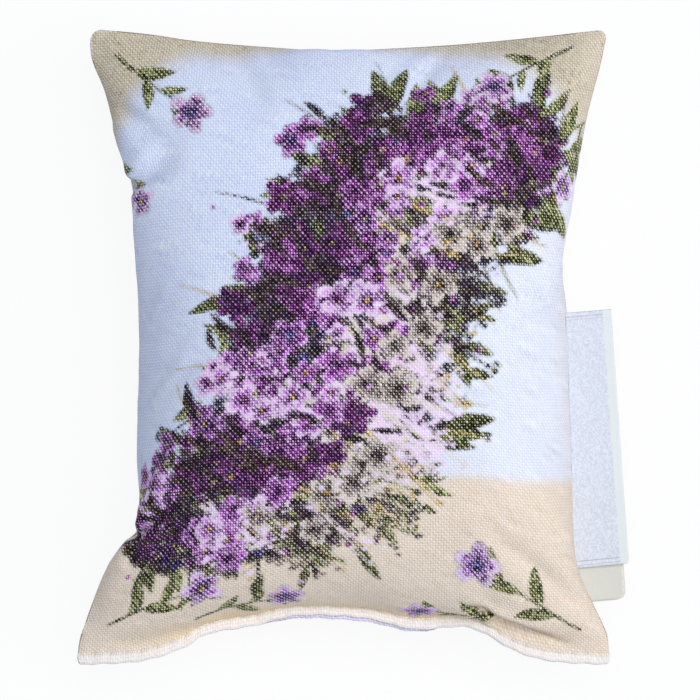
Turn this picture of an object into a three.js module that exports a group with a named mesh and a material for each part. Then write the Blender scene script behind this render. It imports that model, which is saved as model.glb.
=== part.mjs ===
// Lavender sachet: a small pillow of printed cloth filled with dried buds. Its left, top and right
// edges are turned seams, its bottom edge is closed by a topstitch along a flat lip, and two folded
// ribbon labels are caught in the right seam.
//
// Millimetres. The sachet lies on its back panel. +Z rises out of the front panel, +Y runs to the
// top edge and +X to the edge with the labels. The origin is the middle of the flat spot that the
// back panel rests on.
import * as THREE from 'three';

// Reach of the four ears from the centre, on the filled sachet.
const top_left_reach = 52.0;
const top_right_reach = 51.7;
const bottom_left_reach = 54.5;
const bottom_right_reach = 51.9;
const top_reach = 63.7;
const bottom_reach = 63.6;
const ear_radius = 1.6;
const fill_ear_radius = 9.0; // the buds stop short of the ears' tips

// How far the filling draws each edge in from the straight line between its two ears.
const left_draw = 11.5;
const right_draw = 8.5;
const top_draw = 4.6;
const bottom_draw = 9.8;

// Rise of each panel's crown from the seam, and how much of the back's crown the table flattens.
const front_crown = 22.0;
const back_crown = 20.5;
const rest_cut = 0.5;

// Cloth, and the space between two pieces that lie on each other.
const cloth = 0.5;
const clearance = 0.3;

// The flat lip at the bottom: its width, and how far the back panel's edge stands out below the
// front panel's over its middle.
const lip_width = 2.6;
const lip_edge_round = 0.15;
const back_overhang = 1.3;
const back_overhang_half_span = 20.0;

// Sewing thread, the closing stitch's distance from the lip's edge, and where it starts and ends.
const thread_diameter = 0.4;
const stitch_inset = 1.8;
const stitch_end_margin = 3.0;
const seam_turn_radius = 6.0;

// Labels: a folded ribbon each. The woven one lies on the front's side of the seam, the content
// label on the back's side.
const ribbon = 0.25;
const fold_gap = 0.15;
const ribbon_rise_degrees = 5.0;
const woven_top = 6.8;
const woven_length = 51.0;
const woven_top_width = 9.2;
const woven_bottom_width = 10.4;
const content_top = -6.2;
const content_length = 44.0;
const content_top_width = 8.4;
const content_bottom_width = 7.8;
const content_corner_radius = 1.6;

// The drawn-in line of each edge, in pairs: a share of the way along it, and a share of its draw.
// The left and right edges run from the bottom ear to the top ear, the others from left to right.
const left_draw_shares = [
  [0.0, 0.0], [0.04, 0.05], [0.1, 0.25], [0.156, 0.5], [0.194, 0.81], [0.213, 1.02], [0.33, 0.96],
  [0.52, 0.96], [0.67, 0.87], [0.746, 0.81], [0.822, 0.52], [0.9, 0.28], [0.956, 0.03], [1.0, 0.0],
];
const right_draw_shares = [
  [0.0, 0.0], [0.05, 0.08], [0.097, 0.39], [0.153, 0.74], [0.356, 0.87], [0.56, 1.0],
  [0.63, 1.1], [0.75, 0.81], [0.864, 0.5], [0.94, 0.2], [1.0, 0.0],
];
const top_draw_shares = [
  [0.0, 0.0], [0.117, 0.26], [0.196, 0.52], [0.355, 0.83], [0.475, 1.0], [0.554, 0.91],
  [0.733, 0.65], [0.893, 0.3], [1.0, 0.0],
];
const bottom_draw_shares = [
  [0.0, 0.0], [0.128, 0.1], [0.203, 0.37], [0.241, 0.61], [0.335, 0.8], [0.408, 1.0],
  [0.54, 0.95], [0.634, 0.72], [0.73, 0.77], [0.786, 0.63], [0.843, 0.26], [0.897, 0.09],
  [1.0, 0.0],
];

// Fullness of the crowns: the powers of the distance from the middle, across and along, the power
// of the whole product at mid-side, and what the ears add to it. The front's highest place leans
// towards the bottom edge, by a share of half the height; the back's stays over the rest spot.
const across_fullness = 3.4;
const along_fullness = 1.95;
const side_steepness = 0.5;
const ear_thinning = 0.15;
const front_lean = 0.07;
const back_lean = 0.0;

// Columns and rows of each crown, the corners of a thread's section, and steps along it.
const columns = 22;
const rows = 24;
const thread_corners = 6;
const thread_steps = 44;
const seam_thread_steps = 72;
const label_stations = 12;
const fold_steps = 6;

const seam_plane = back_crown - rest_cut; // height of the seam above the table
const width = (top_left_reach + top_right_reach + bottom_left_reach + bottom_right_reach) / 2;
const height = top_reach + bottom_reach;
const lip_share = lip_width / height;
const thread_radius = thread_diameter / 2;
const seam_thread_inset = cloth + 2 * clearance + thread_radius;
const label_half = ribbon + fold_gap / 2;

const material = (color, roughness) =>
  new THREE.MeshStandardMaterial({ color, roughness, metalness: 0 });
const printed_cloth = material('#cfd3e2', 0.92);
const printed_back = material('#c6c0dc', 0.92);
const dried_buds = material('#6f6788', 0.95);
const pale_thread = material('#cdd6e6', 0.8);
const white_ribbon = material('#dfe5e6', 0.7);
const cream_ribbon = material('#ece9e0', 0.75);

// One edge of the seam line, from one ear tip to the next. Each share of draw is measured square
// to the straight line between the tips, towards the middle of the sachet.
function edgeCurve(from, to, inward, draw, shares) {
  const points = shares.map(([along, drawn]) =>
    new THREE.Vector3().lerpVectors(from, to, along).addScaledVector(inward, draw * drawn));
  return new THREE.CatmullRomCurve3(points, false, 'centripetal');
}

const bottom_left = new THREE.Vector3(-bottom_left_reach, -bottom_reach, 0);
const bottom_right = new THREE.Vector3(bottom_right_reach, -bottom_reach, 0);
const top_left = new THREE.Vector3(-top_left_reach, top_reach, 0);
const top_right = new THREE.Vector3(top_right_reach, top_reach, 0);
const to_right = new THREE.Vector3(1, 0, 0);
const to_top = new THREE.Vector3(0, 1, 0);
const to_left = to_right.clone().negate();
const to_bottom = to_top.clone().negate();

const left_edge = edgeCurve(bottom_left, top_left, to_right, left_draw, left_draw_shares);
const right_edge = edgeCurve(bottom_right, top_right, to_left, right_draw, right_draw_shares);
const top_edge = edgeCurve(top_left, top_right, to_bottom, top_draw, top_draw_shares);
const bottom_edge = edgeCurve(bottom_left, bottom_right, to_top, bottom_draw, bottom_draw_shares);

// Rounds an ear: inside the square of the radius at each tip, the square's two outer sides are
// bent onto a quarter circle. near and far are the distances from the two edges that meet there.
function roundEar(near, far, radius) {
  if (near >= radius || far >= radius) return [near, far];
  const a = radius - near;
  const b = radius - far;
  const pull = Math.max(a, b) / Math.hypot(a, b);
  return [radius - a * pull, radius - b * pull];
}

// Plan of the sachet: a Coons patch between its four edges. u runs from the left edge to the
// right, v from the bottom edge to the top, both from 0 to 1.
function plan(u, v, radius = ear_radius) {
  const from_right = u > 0.5;
  const from_top = v > 0.5;
  const across_in = width * (from_right ? 1 - u : u);
  const up_in = height * (from_top ? 1 - v : v);
  const [a, b] = roundEar(across_in, up_in, radius);
  const s = from_right ? 1 - a / width : a / width;
  const t = from_top ? 1 - b / height : b / height;
  const across = new THREE.Vector3()
    .lerpVectors(left_edge.getPointAt(t), right_edge.getPointAt(t), s);
  const along = new THREE.Vector3()
    .lerpVectors(bottom_edge.getPointAt(s), top_edge.getPointAt(s), t);
  const low = new THREE.Vector3().lerpVectors(bottom_left, bottom_right, s);
  const high = new THREE.Vector3().lerpVectors(top_left, top_right, s);
  return across.add(along).sub(low.lerp(high, t));
}

// Share of the crown's rise at a place of the dome, whose sides are at -1 and 1 both ways.
function swell(s, t, lean) {
  const along = t + lean * (1 - t * t);
  const product = (1 - Math.abs(s) ** across_fullness) * (1 - Math.abs(along) ** along_fullness);
  return Math.max(product, 0) ** (side_steepness + ear_thinning * s * s * t * t);
}

// Steps from 0 to 1 that are close together at both ends, where the dome is steep.
const eased = (step, steps) => (1 - Math.cos((Math.PI * step) / steps)) / 2;

// A face of a dome as a grid of points, inset from the sachet's edges and from the lip's foot.
// side is 1 for the front, -1 for the back; rise is the crown's, level its flattened height.
function domeGrid({ side, inset, rise, level, lean, base, radius = ear_radius }) {
  const grid = [];
  for (let j = 0; j <= rows; j++) {
    const v = lip_share + inset / height + (1 - lip_share - (2 * inset) / height) * eased(j, rows);
    const t = 2 * eased(j, rows) - 1;
    for (let i = 0; i <= columns; i++) {
      const u = inset / width + (1 - (2 * inset) / width) * eased(i, columns);
      const s = 2 * eased(i, columns) - 1;
      const point = plan(u, v, radius);
      point.z = side * (base + Math.min(rise * swell(s, t, lean), level));
      grid.push(point);
    }
  }
  return grid;
}

// The lip's two outer rows, at its cut edge and just above it, and the cloth's thickness on it.
function lipRows(side, base, overhang) {
  const grid = [];
  for (const v of [0, lip_edge_round / height]) {
    for (let i = 0; i <= columns; i++) {
      const point = plan(eased(i, columns), v);
      const off_centre = Math.min(Math.abs(point.x) / back_overhang_half_span, 1);
      point.y -= overhang * (1 - off_centre ** 2) ** 2;
      const on_rim = v === 0 || i === 0 || i === columns;
      point.z = side * (base + (on_rim ? 0 : cloth));
      grid.push(point);
    }
  }
  return grid;
}

// A closed mesh from its points and faces. turned is true where all faces are to look the other way.
function closedMesh(points, faces, turned) {
  const order = turned ? faces.map(([a, b, c]) => [a, c, b]) : faces;
  const geometry = new THREE.BufferGeometry();
  geometry.setFromPoints(points);
  geometry.setIndex(order.flat());
  geometry.computeVertexNormals();
  return geometry;
}

// Two triangles for each cell of a grid, facing up when seen with u to the right and v up.
function cells(first, rowCount, faces, facing) {
  const stride = columns + 1;
  for (let j = 0; j < rowCount; j++) {
    for (let i = 0; i < columns; i++) {
      const a = first + j * stride + i;
      const corners = [[a, a + 1, a + stride + 1], [a, a + stride + 1, a + stride]];
      faces.push(...corners.map(([p, q, r]) => (facing > 0 ? [p, q, r] : [p, r, q])));
    }
  }
}

// Walks round a grid against the clock and gives the point numbers, corner to corner. The side
// rows below skip are all taken as the first row, so that a shorter grid can follow a longer one.
function ringOf(first, rowCount, skip) {
  const stride = columns + 1;
  const at = (i, j) => first + Math.max(j - skip, 0) * stride + i;
  const last = rowCount + skip;
  const ring = [];
  for (let i = 0; i <= columns; i++) ring.push(at(i, 0));
  for (let j = 1; j <= last; j++) ring.push(at(columns, j));
  for (let i = columns - 1; i >= 0; i--) ring.push(at(i, last));
  for (let j = last - 1; j >= 1; j--) ring.push(at(0, j));
  return ring;
}

// A panel: a dome of cloth with the lip at its bottom, open towards the other panel. Its rim lies
// half the clearance off the seam plane.
function panel({ side, crown, level, lean, overhang }) {
  const base = clearance / 2;
  const outer = domeGrid({ side, inset: 0, rise: crown, level, lean, base });
  // The foot of the dome is the lip's upper side, one cloth above the rim, and the dome grows
  // out of it.
  outer.forEach((point, k) => {
    const i = k % (columns + 1);
    const up = Math.floor(k / (columns + 1)) / rows;
    if (i > 0 && i < columns && up < 1) {
      point.z = side * Math.max(side * point.z, base + cloth * (1 - up));
    }
  });
  const inner = domeGrid({
    side, inset: cloth, rise: crown - cloth, level: level - cloth, lean, base,
  });
  const lip = lipRows(side, base, overhang);
  const lip_row_count = lip.length / (columns + 1);
  const faces = [];
  cells(0, rows + lip_row_count, faces, 1);
  const inner_first = lip.length + outer.length;
  cells(inner_first, rows, faces, -1);
  const outside = ringOf(0, rows + lip_row_count, 0);
  const inside = ringOf(inner_first, rows, lip_row_count);
  outside.forEach((a, k) => {
    const next = (k + 1) % outside.length;
    faces.push([a, inside[next], outside[next]]);
    if (inside[k] !== inside[next]) faces.push([a, inside[k], inside[next]]);
  });
  return closedMesh([...lip, ...outer, ...inner], faces, side < 0);
}

// The filling: two domes that meet on the seam plane, inside the ring that the seam threads take.
function filling() {
  const inset = seam_thread_inset + thread_radius + 2 * clearance;
  const skin = cloth + clearance;
  const radius = fill_ear_radius;
  const top = domeGrid({
    side: 1, inset, rise: front_crown - skin, level: front_crown, lean: front_lean, base: 0, radius,
  });
  const bottom = domeGrid({
    side: -1, inset, rise: back_crown - skin, level: seam_plane - skin, lean: back_lean, base: 0,
    radius,
  });
  const stride = columns + 1;
  const faces = [];
  cells(0, rows, faces, 1);
  cells(top.length, rows, faces, -1);
  // Both domes have the same points round their edge, so the lower one takes the upper one's.
  const on_edge = (k) => {
    const i = k % stride;
    const j = Math.floor(k / stride);
    return i === 0 || i === columns || j === 0 || j === rows;
  };
  const shared = faces.map((face) => face.map((k) =>
    (k >= top.length && on_edge(k - top.length) ? k - top.length : k)));
  return closedMesh([...top, ...bottom], shared, false);
}

// A thread: a round section carried along a smooth line through the given points.
function thread(points, steps) {
  const section = new THREE.Shape().absarc(0, 0, thread_radius, 0, 2 * Math.PI);
  return new THREE.ExtrudeGeometry(section, {
    steps,
    extrudePath: new THREE.CatmullRomCurve3(points, false, 'centripetal'),
    curveSegments: thread_corners / 2,
    bevelEnabled: false,
  });
}

// Line of the hidden seam inside the left, top and right edges, rounded at the two top ears. It
// starts and ends beside the lip's foot.
function seamLine(z) {
  const u_in = seam_thread_inset / width;
  const v_in = seam_thread_inset / height;
  const u_turn = seam_turn_radius / width;
  const v_turn = seam_turn_radius / height;
  const start = lip_share + v_turn;
  const points = [];
  const add = (u, v) => {
    const point = plan(u, v);
    point.z = z;
    points.push(point);
  };
  const top = 1 - v_in - v_turn;
  for (let k = 0; k <= rows; k++) add(1 - u_in, start + ((top - start) * k) / rows);
  add(1 - u_in - u_turn * (1 - Math.SQRT1_2), 1 - v_in - v_turn * (1 - Math.SQRT1_2));
  for (let k = 0; k <= columns; k++) {
    add(1 - u_in - u_turn - ((1 - 2 * (u_in + u_turn)) * k) / columns, 1 - v_in);
  }
  add(u_in + u_turn * (1 - Math.SQRT1_2), 1 - v_in - v_turn * (1 - Math.SQRT1_2));
  for (let k = rows; k >= 0; k--) add(u_in, start + ((top - start) * k) / rows);
  return points;
}

// Line of the closing stitch along the lip, on one side of it.
function closingLine(z) {
  const margin = stitch_end_margin / width;
  const points = [];
  for (let k = 0; k <= columns; k++) {
    const point = plan(margin + (1 - 2 * margin) * (k / columns), stitch_inset / height);
    point.z = z;
    points.push(point);
  }
  return points;
}

// The point of the right seam at a height y.
function seamAt(y) {
  let low = 0;
  let high = 1;
  for (let k = 0; k < 40; k++) {
    const middle = (low + high) / 2;
    if (right_edge.getPoint(middle).y < y) low = middle;
    else high = middle;
  }
  return right_edge.getPoint(low);
}

// Cross-section of a folded ribbon that is reach wide: two layers that part at the seam, joined
// by a round fold. x runs out from the seam, y through the ribbon.
function foldedSection(reach) {
  const bend = reach - label_half;
  const slit = fold_gap / 2;
  const points = [new THREE.Vector2(0, -label_half)];
  for (let k = 0; k <= fold_steps; k++) {
    const angle = Math.PI * (k / fold_steps - 0.5);
    points.push(new THREE.Vector2(
      bend + label_half * Math.cos(angle), label_half * Math.sin(angle)));
  }
  points.push(new THREE.Vector2(0, label_half), new THREE.Vector2(0, slit));
  for (let k = 0; k <= fold_steps; k++) {
    const angle = Math.PI * (0.5 - k / fold_steps);
    points.push(new THREE.Vector2(bend + slit * Math.cos(angle), slit * Math.sin(angle)));
  }
  points.push(new THREE.Vector2(0, -slit));
  return points;
}

// Beside the seam at a height y: the middle of a label's thickness, clear of the panels.
function besideSeam(y) {
  return seamAt(y).add(new THREE.Vector3(clearance + label_half, 0, 0));
}

// The labels' hinge line at a height y. It is straight, and runs beside the seam from one end of
// the woven label to the other.
function hingeAt(y) {
  const top = besideSeam(woven_top);
  const bottom = besideSeam(woven_top - woven_length);
  return top.lerp(bottom, (woven_top - y) / woven_length);
}

// Where a label's two layers end at a height y: on the hinge line, or out past it where the seam
// bulges into its way.
function labelEnd(y) {
  const end = hingeAt(y);
  end.x = Math.max(end.x, besideSeam(y).x);
  return end;
}

// A label: its folded section carried down the seam, its width changing from top to bottom. Its
// lower outer corner may be rounded.
function label({ top, length, top_width, bottom_width, corner_radius }) {
  const rise = THREE.MathUtils.degToRad(ribbon_rise_degrees);
  const outward = new THREE.Vector3(Math.cos(rise), Math.sin(rise), 0);
  const stations = [];
  const corner_share = corner_radius / length;
  for (let k = 0; k <= label_stations; k++) stations.push((1 - corner_share) * (k / label_stations));
  for (const turn of corner_radius > 0 ? [0.5, 0.85, 1] : []) {
    stations.push(1 - corner_share * (1 - turn));
  }
  const hinge_top = hingeAt(top);
  const points = [];
  for (const share of stations) {
    const into_corner = Math.min(Math.max(share - 1 + corner_share, 0) * length, corner_radius);
    const cut = corner_radius - Math.sqrt(corner_radius ** 2 - into_corner ** 2);
    const reach = THREE.MathUtils.lerp(top_width, bottom_width, share) - cut;
    const end = labelEnd(top - length * share).sub(hinge_top);
    for (const p of foldedSection(reach)) {
      points.push(end.clone().addScaledVector(outward, p.x).add(new THREE.Vector3(0, 0, p.y)));
    }
  }
  const ring = foldedSection(top_width);
  const count = ring.length;
  const faces = [];
  for (let k = 0; k < stations.length - 1; k++) {
    for (let i = 0; i < count; i++) {
      const a = k * count + i;
      const b = k * count + ((i + 1) % count);
      faces.push([a, b, b + count], [a, b + count, a + count]);
    }
  }
  const cap = THREE.ShapeUtils.triangulateShape(ring, []);
  const last = (stations.length - 1) * count;
  for (const [a, b, c] of cap) faces.push([a, c, b], [last + a, last + b, last + c]);
  return closedMesh(points, faces, false);
}

function piece(name, geometry, finish) {
  const mesh = new THREE.Mesh(geometry, finish);
  mesh.name = name;
  return mesh;
}

const sachet = new THREE.Group();
sachet.name = 'sachet';
sachet.position.z = seam_plane;

sachet.add(piece('front_panel', panel({
  side: 1, crown: front_crown, level: front_crown, lean: front_lean, overhang: 0,
}), printed_cloth));
sachet.add(piece('back_panel', panel({
  side: -1, crown: back_crown, level: seam_plane - clearance / 2, lean: back_lean,
  overhang: back_overhang,
}), printed_back));
sachet.add(piece('lavender_fill', filling(), dried_buds));

// The hidden seam's two threads lie over each other, and the closing stitch's on the lip's sides.
const seam_thread_height = thread_radius + clearance / 2;
const closing_thread_height = clearance / 2 + cloth + clearance + thread_radius;
for (const [name, side] of [['needle', 1], ['bobbin', -1]]) {
  sachet.add(piece(`seam_${name}_thread`,
    thread(seamLine(side * seam_thread_height), seam_thread_steps), pale_thread));
  sachet.add(piece(`closing_${name}_thread`,
    thread(closingLine(side * closing_thread_height), thread_steps), pale_thread));
}

// Each label hangs from its hinge, half its own thickness off the seam plane.
const woven_label = piece('woven_label', label({
  top: woven_top, length: woven_length, top_width: woven_top_width,
  bottom_width: woven_bottom_width, corner_radius: 0,
}), white_ribbon);
woven_label.position.copy(hingeAt(woven_top)).z = clearance / 2 + label_half;
const content_label = piece('content_label', label({
  top: content_top, length: content_length, top_width: content_top_width,
  bottom_width: content_bottom_width, corner_radius: content_corner_radius,
}), cream_ribbon);
content_label.position.copy(hingeAt(content_top)).z = -(clearance / 2 + label_half);
sachet.add(woven_label, content_label);

export default sachet;
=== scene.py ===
"""A stuffed sachet: two printed cotton panels sewn into a small pillow, its fill, threads and two labels.

Lengths are in millimetres until a mesh is made, in the frame of the CAD model: +Z rises out of the front
panel, +Y runs to the top edge, +X to the edge with the labels, and the table is at z = 0.
"""

import math

import bpy
import numpy as np
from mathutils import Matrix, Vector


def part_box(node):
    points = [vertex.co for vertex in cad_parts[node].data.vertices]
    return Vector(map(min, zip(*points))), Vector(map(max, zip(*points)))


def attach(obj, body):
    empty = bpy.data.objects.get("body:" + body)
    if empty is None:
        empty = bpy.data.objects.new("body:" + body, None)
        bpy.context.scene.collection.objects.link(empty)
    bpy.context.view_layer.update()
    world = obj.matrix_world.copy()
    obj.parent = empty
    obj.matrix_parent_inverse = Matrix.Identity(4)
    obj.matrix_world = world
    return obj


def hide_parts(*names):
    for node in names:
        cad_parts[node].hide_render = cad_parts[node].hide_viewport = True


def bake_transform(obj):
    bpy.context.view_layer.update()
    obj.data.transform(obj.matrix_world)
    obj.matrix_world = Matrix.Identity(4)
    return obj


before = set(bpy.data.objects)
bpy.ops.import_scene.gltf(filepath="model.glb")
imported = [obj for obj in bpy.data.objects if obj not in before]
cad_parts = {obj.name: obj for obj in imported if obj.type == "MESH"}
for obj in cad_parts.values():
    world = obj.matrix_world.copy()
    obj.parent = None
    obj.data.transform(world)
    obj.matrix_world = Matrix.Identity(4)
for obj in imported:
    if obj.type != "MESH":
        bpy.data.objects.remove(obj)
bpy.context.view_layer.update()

MM = 0.001


def cad_corners(node):
    """Lowest and highest corner of a CAD node, in millimetres."""
    low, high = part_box(node)
    return np.array(low) / MM, np.array(high) / MM


# Outline of the filled sachet, from above

TOP_LEFT = np.array((-52.0, 63.7))
TOP_RIGHT = np.array((51.7, 63.7))
BOTTOM_LEFT = np.array((-54.5, -63.6))
BOTTOM_RIGHT = np.array((51.9, -63.6))

LEFT_DRAW, RIGHT_DRAW, TOP_DRAW, BOTTOM_DRAW = 11.5, 8.5, 4.6, 9.8

# Shares of each edge's length and of its draw: left and right from the bottom, top and bottom from the left.
LEFT_SHARES = (
    (0, 0), (0.04, 0.05), (0.1, 0.25), (0.156, 0.5), (0.194, 0.81), (0.213, 1.02), (0.33, 0.96), (0.52, 0.96),
    (0.67, 0.87), (0.746, 0.81), (0.822, 0.52), (0.9, 0.28), (0.956, 0.03), (1, 0),
)
RIGHT_SHARES = (
    (0, 0), (0.05, 0.08), (0.097, 0.39), (0.153, 0.74), (0.356, 0.87), (0.56, 1), (0.63, 1.1), (0.75, 0.81),
    (0.864, 0.5), (0.94, 0.2), (1, 0),
)
TOP_SHARES = (
    (0, 0), (0.117, 0.26), (0.196, 0.52), (0.355, 0.83), (0.475, 1), (0.554, 0.91), (0.733, 0.65),
    (0.893, 0.3), (1, 0),
)
BOTTOM_SHARES = (
    (0, 0), (0.128, 0.1), (0.203, 0.37), (0.241, 0.61), (0.335, 0.8), (0.408, 1), (0.54, 0.95), (0.634, 0.72),
    (0.73, 0.77), (0.77, 0.61), (0.805, 0.38), (0.846, 0.19), (0.897, 0.07), (1, 0),
)

# The seam's plane above the table, the hair between belly and table, and the rounding of the ears.
SEAM_HEIGHT = 20.0
TABLE_CLEARANCE = 0.02
EAR_RADIUS = 2.6

# The closed bottom edge: its lip below the topstitch, how far the back's edge stands out below the front's,
# and half the span over which it does.
LIP = 2.1
BACK_OVERHANG = 0.7
OVERHANG_HALF_SPAN = 17.0

# The cut of each panel between its seams, the share of the bottom edge's draw that is already in the cut, and
# the thickness of the cloth.
CUT_WIDTH = 107.0
CUT_HEIGHT = 133.0
CUT_HOLLOW = 0.6
CLOTH = 0.45

# Cells of the simulated cloth and of the finished panel, across and up, and how many fine cells make one cell
# of the panel's inner side.
DRAPE_CELLS = ((80, 100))
PANEL_CELLS = (258, 322)
LIP_CELLS = 5
INNER_STEP = 3


def curve_through(points, steps=24):
    """A centripetal Catmull-Rom curve through points: knots are the square roots of the chords, summed."""
    ends = np.vstack([2 * points[0] - points[1], points, 2 * points[-1] - points[-2]])
    pieces = []
    for a, b, c, d in zip(ends[:-3], ends[1:-2], ends[2:-1], ends[3:]):
        k1 = math.sqrt(np.linalg.norm(b - a))
        k2 = k1 + math.sqrt(np.linalg.norm(c - b))
        k3 = k2 + math.sqrt(np.linalg.norm(d - c))
        t = np.linspace(k1, k2, steps, endpoint=False)[:, None]
        ab = a + (b - a) * t / k1
        bc = b + (c - b) * (t - k1) / (k2 - k1)
        cd = c + (d - c) * (t - k2) / (k3 - k2)
        abc = ab + (bc - ab) * t / k2
        bcd = bc + (cd - bc) * (t - k1) / (k3 - k1)
        pieces.append(abc + (bcd - abc) * (t - k1) / (k2 - k1))
    return np.vstack([*pieces, points[-1:]])


def run_along(path):
    """The length of a path from its start to each of its points."""
    return np.r_[0, np.cumsum(np.linalg.norm(np.diff(path, axis=0), axis=1))]


def evenly(curve, cells):
    """cells + 1 points at equal steps of length along a curve."""
    run = run_along(curve)
    steps = np.linspace(0, run[-1], cells + 1)
    return np.stack([np.interp(steps, run, part) for part in curve.T], 1)


def drawn_edge(start, end, inward, draw, shares, cells):
    """An edge of the outline: the straight line from ear to ear, drawn inwards by the filling."""
    along, depth = np.array(shares, float).T[:, :, None]
    return evenly(curve_through(start + (end - start) * along + np.array(inward) * draw * depth), cells)


def outline(across, up):
    """The outline's edges as (left, right, top, bottom). The side ones start at the stitch line."""
    lift = np.array((0, LIP))
    left = drawn_edge(BOTTOM_LEFT, TOP_LEFT, (1, 0), LEFT_DRAW, LEFT_SHARES, up)
    right = drawn_edge(BOTTOM_RIGHT, TOP_RIGHT, (-1, 0), RIGHT_DRAW, RIGHT_SHARES, up)
    top = drawn_edge(TOP_LEFT, TOP_RIGHT, (0, -1), TOP_DRAW, TOP_SHARES, across)
    bottom = drawn_edge(BOTTOM_LEFT, BOTTOM_RIGHT, (0, 1), BOTTOM_DRAW, BOTTOM_SHARES, across)
    fade = np.clip(1 - np.arange(up + 1)[:, None] / (0.06 * up), 0, 1)
    return left + lift * fade, right + lift * fade, top, bottom + lift


def spanned(left, right, top, bottom):
    """A Coons patch: both ruled surfaces between opposite edges, less the one between the corners."""
    u = np.linspace(0, 1, len(top))[None, :, None]
    v = np.linspace(0, 1, len(left))[:, None, None]
    ruled = (1 - u) * left[:, None] + u * right[:, None] + (1 - v) * bottom[None] + v * top[None]
    corners = (1 - u) * (1 - v) * bottom[0] + u * (1 - v) * bottom[-1]
    corners = corners + (1 - u) * v * top[0] + u * v * top[-1]
    return ruled - corners


def seam_sway(u, v):
    """Height of the seam above its plane: slow waves that die out along the side that holds the labels."""
    waves = 0.8 * np.sin(7.4 * u + 1.1) * np.sin(9.6 * v + 0.5) + 0.5 * np.sin(17.0 * u + 6.0 * v)
    calm = 1 - np.exp(-(((u - 1) / 0.12) ** 2)) * np.exp(-(((v - 0.33) / 0.32) ** 4))
    return waves * calm


# The pillow, blown up as cloth

def quads(index, flipped=False):
    """The cells of a grid of vertex numbers, as four corners each, turned over where flipped."""
    cells = np.stack([index[:-1, :-1], index[:-1, 1:], index[1:, 1:], index[1:, :-1]], -1).reshape(-1, 4)
    return cells[:, ::-1] if flipped else cells


# The bag is simulated at ten times its size. Its seam is drawn in by the frame DRAPE_DRAWN_IN.
DRAPE_SCALE = 10.0
DRAPE_FRAMES = 26
DRAPE_DRAWN_IN = 14
DRAPE_CLOTH = {
    "quality": 5,
    "mass": 0.12,
    "tension_stiffness": 60,
    "compression_stiffness": 30,
    "shear_stiffness": 8,
    "bending_stiffness": 2.5,
    "tension_damping": 10,
    "compression_damping": 10,
    "shear_damping": 5,
    "bending_damping": 0.5,
    "air_damping": 3,
    "use_pressure": True,
    "uniform_pressure_force": 14.0,
    "vertex_group_mass": "seam",
}

# The share of the height over which the hollow of the bottom edge's cut fades out.
HOLLOW_SPAN = 0.6


def inflated(across, up):
    """Front and back grids of the two panels: a flat bag, sewn round its edge, that is blown up as cloth.

    It starts as the flat cut with a rise of (1 - s^2)(1 - t^2) millimetres on each side, s and t running from
    -1 to 1, which is the cloth's rest form. While it fills, its seam is drawn in to the outline of the full
    sachet.
    """
    u = np.linspace(0, 1, across + 1)[None, :]
    v = np.linspace(0, 1, up + 1)[:, None]
    edges = outline(across, up)
    hollow = CUT_HOLLOW * (edges[3][:, 1] - edges[3][:, 1].min())
    rise = (1 - (2 * u - 1) ** 2) * (1 - (2 * v - 1) ** 2)
    flat_x = (u - 0.5) * CUT_WIDTH + 0 * v
    flat_y = (v - 0.5) * CUT_HEIGHT + hollow * np.clip(1 - v / HOLLOW_SPAN, 0, 1)
    front = np.dstack([flat_x, flat_y, rise])
    back = np.dstack([flat_x, flat_y, -rise])
    seam = np.dstack([spanned(*edges), seam_sway(u, v)])

    edge = np.ones(rise.shape, bool)
    edge[1:-1, 1:-1] = False
    over = np.arange(rise.size).reshape(rise.shape)
    under = over.copy()
    under[~edge] = rise.size + np.arange((~edge).sum())

    mesh = bpy.data.meshes.new("drape")
    start = np.vstack([front.reshape(-1, 3), back[~edge]])
    cells = np.vstack([quads(over), quads(under, True)])
    mesh.from_pydata((start * MM * DRAPE_SCALE).tolist(), [], cells.tolist())
    bag = bpy.data.objects.new("drape", mesh)
    bpy.context.scene.collection.objects.link(bag)
    bag.shape_key_add(name="Basis")
    drawn = bag.shape_key_add(name="drawn in")
    target = np.vstack([seam.reshape(-1, 3), seam[~edge]]) * MM * DRAPE_SCALE
    drawn.data.foreach_set("co", target.astype(np.float32).ravel())
    for step, share in ((1, 0.0), (DRAPE_DRAWN_IN, 1.0)):
        drawn.value = share
        drawn.keyframe_insert("value", frame=step)
    bag.vertex_groups.new(name="seam").add(over[edge].tolist(), 1.0, "ADD")

    drape = bag.modifiers.new("drape", "CLOTH")
    for setting, value in DRAPE_CLOTH.items():
        setattr(drape.settings, setting, value)
    drape.settings.effector_weights.gravity = 0
    drape.collision_settings.use_collision = False
    drape.collision_settings.use_self_collision = False
    drape.point_cache.frame_start = 1
    drape.point_cache.frame_end = DRAPE_FRAMES
    for step in range(1, DRAPE_FRAMES + 1):
        bpy.context.scene.frame_set(step)
    full = bag.evaluated_get(bpy.context.evaluated_depsgraph_get()).data
    points = np.empty(len(full.vertices) * 3, np.float32)
    full.vertices.foreach_get("co", points)
    points = points.reshape(-1, 3).astype(float) / (MM * DRAPE_SCALE)
    bpy.data.objects.remove(bag)
    bpy.data.meshes.remove(mesh)
    bpy.context.scene.frame_set(1)
    return points[over], points[under]


def smoothed(grid, share=1.0):
    """Each inner point of a grid moved by a share towards the mean of 1-2-1 weights both ways."""
    out = grid.copy()
    rows = (grid[:-2] + 2 * grid[1:-1] + grid[2:]) / 4
    out[1:-1, 1:-1] = (rows[:, :-2] + 2 * rows[:, 1:-1] + rows[:, 2:]) / 4
    return grid + share * (out - grid)


# How far the smoothing reaches from the corners and from the closing seam, how often it is done, and the
# share of the bulge past the seam that is taken off, across and up.
CORNER_REACH = 16.0
CLOSING_REACH = 2.5
SMOOTHINGS = 8
BULGE_TRIM = (0.85, 0.7)


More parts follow.
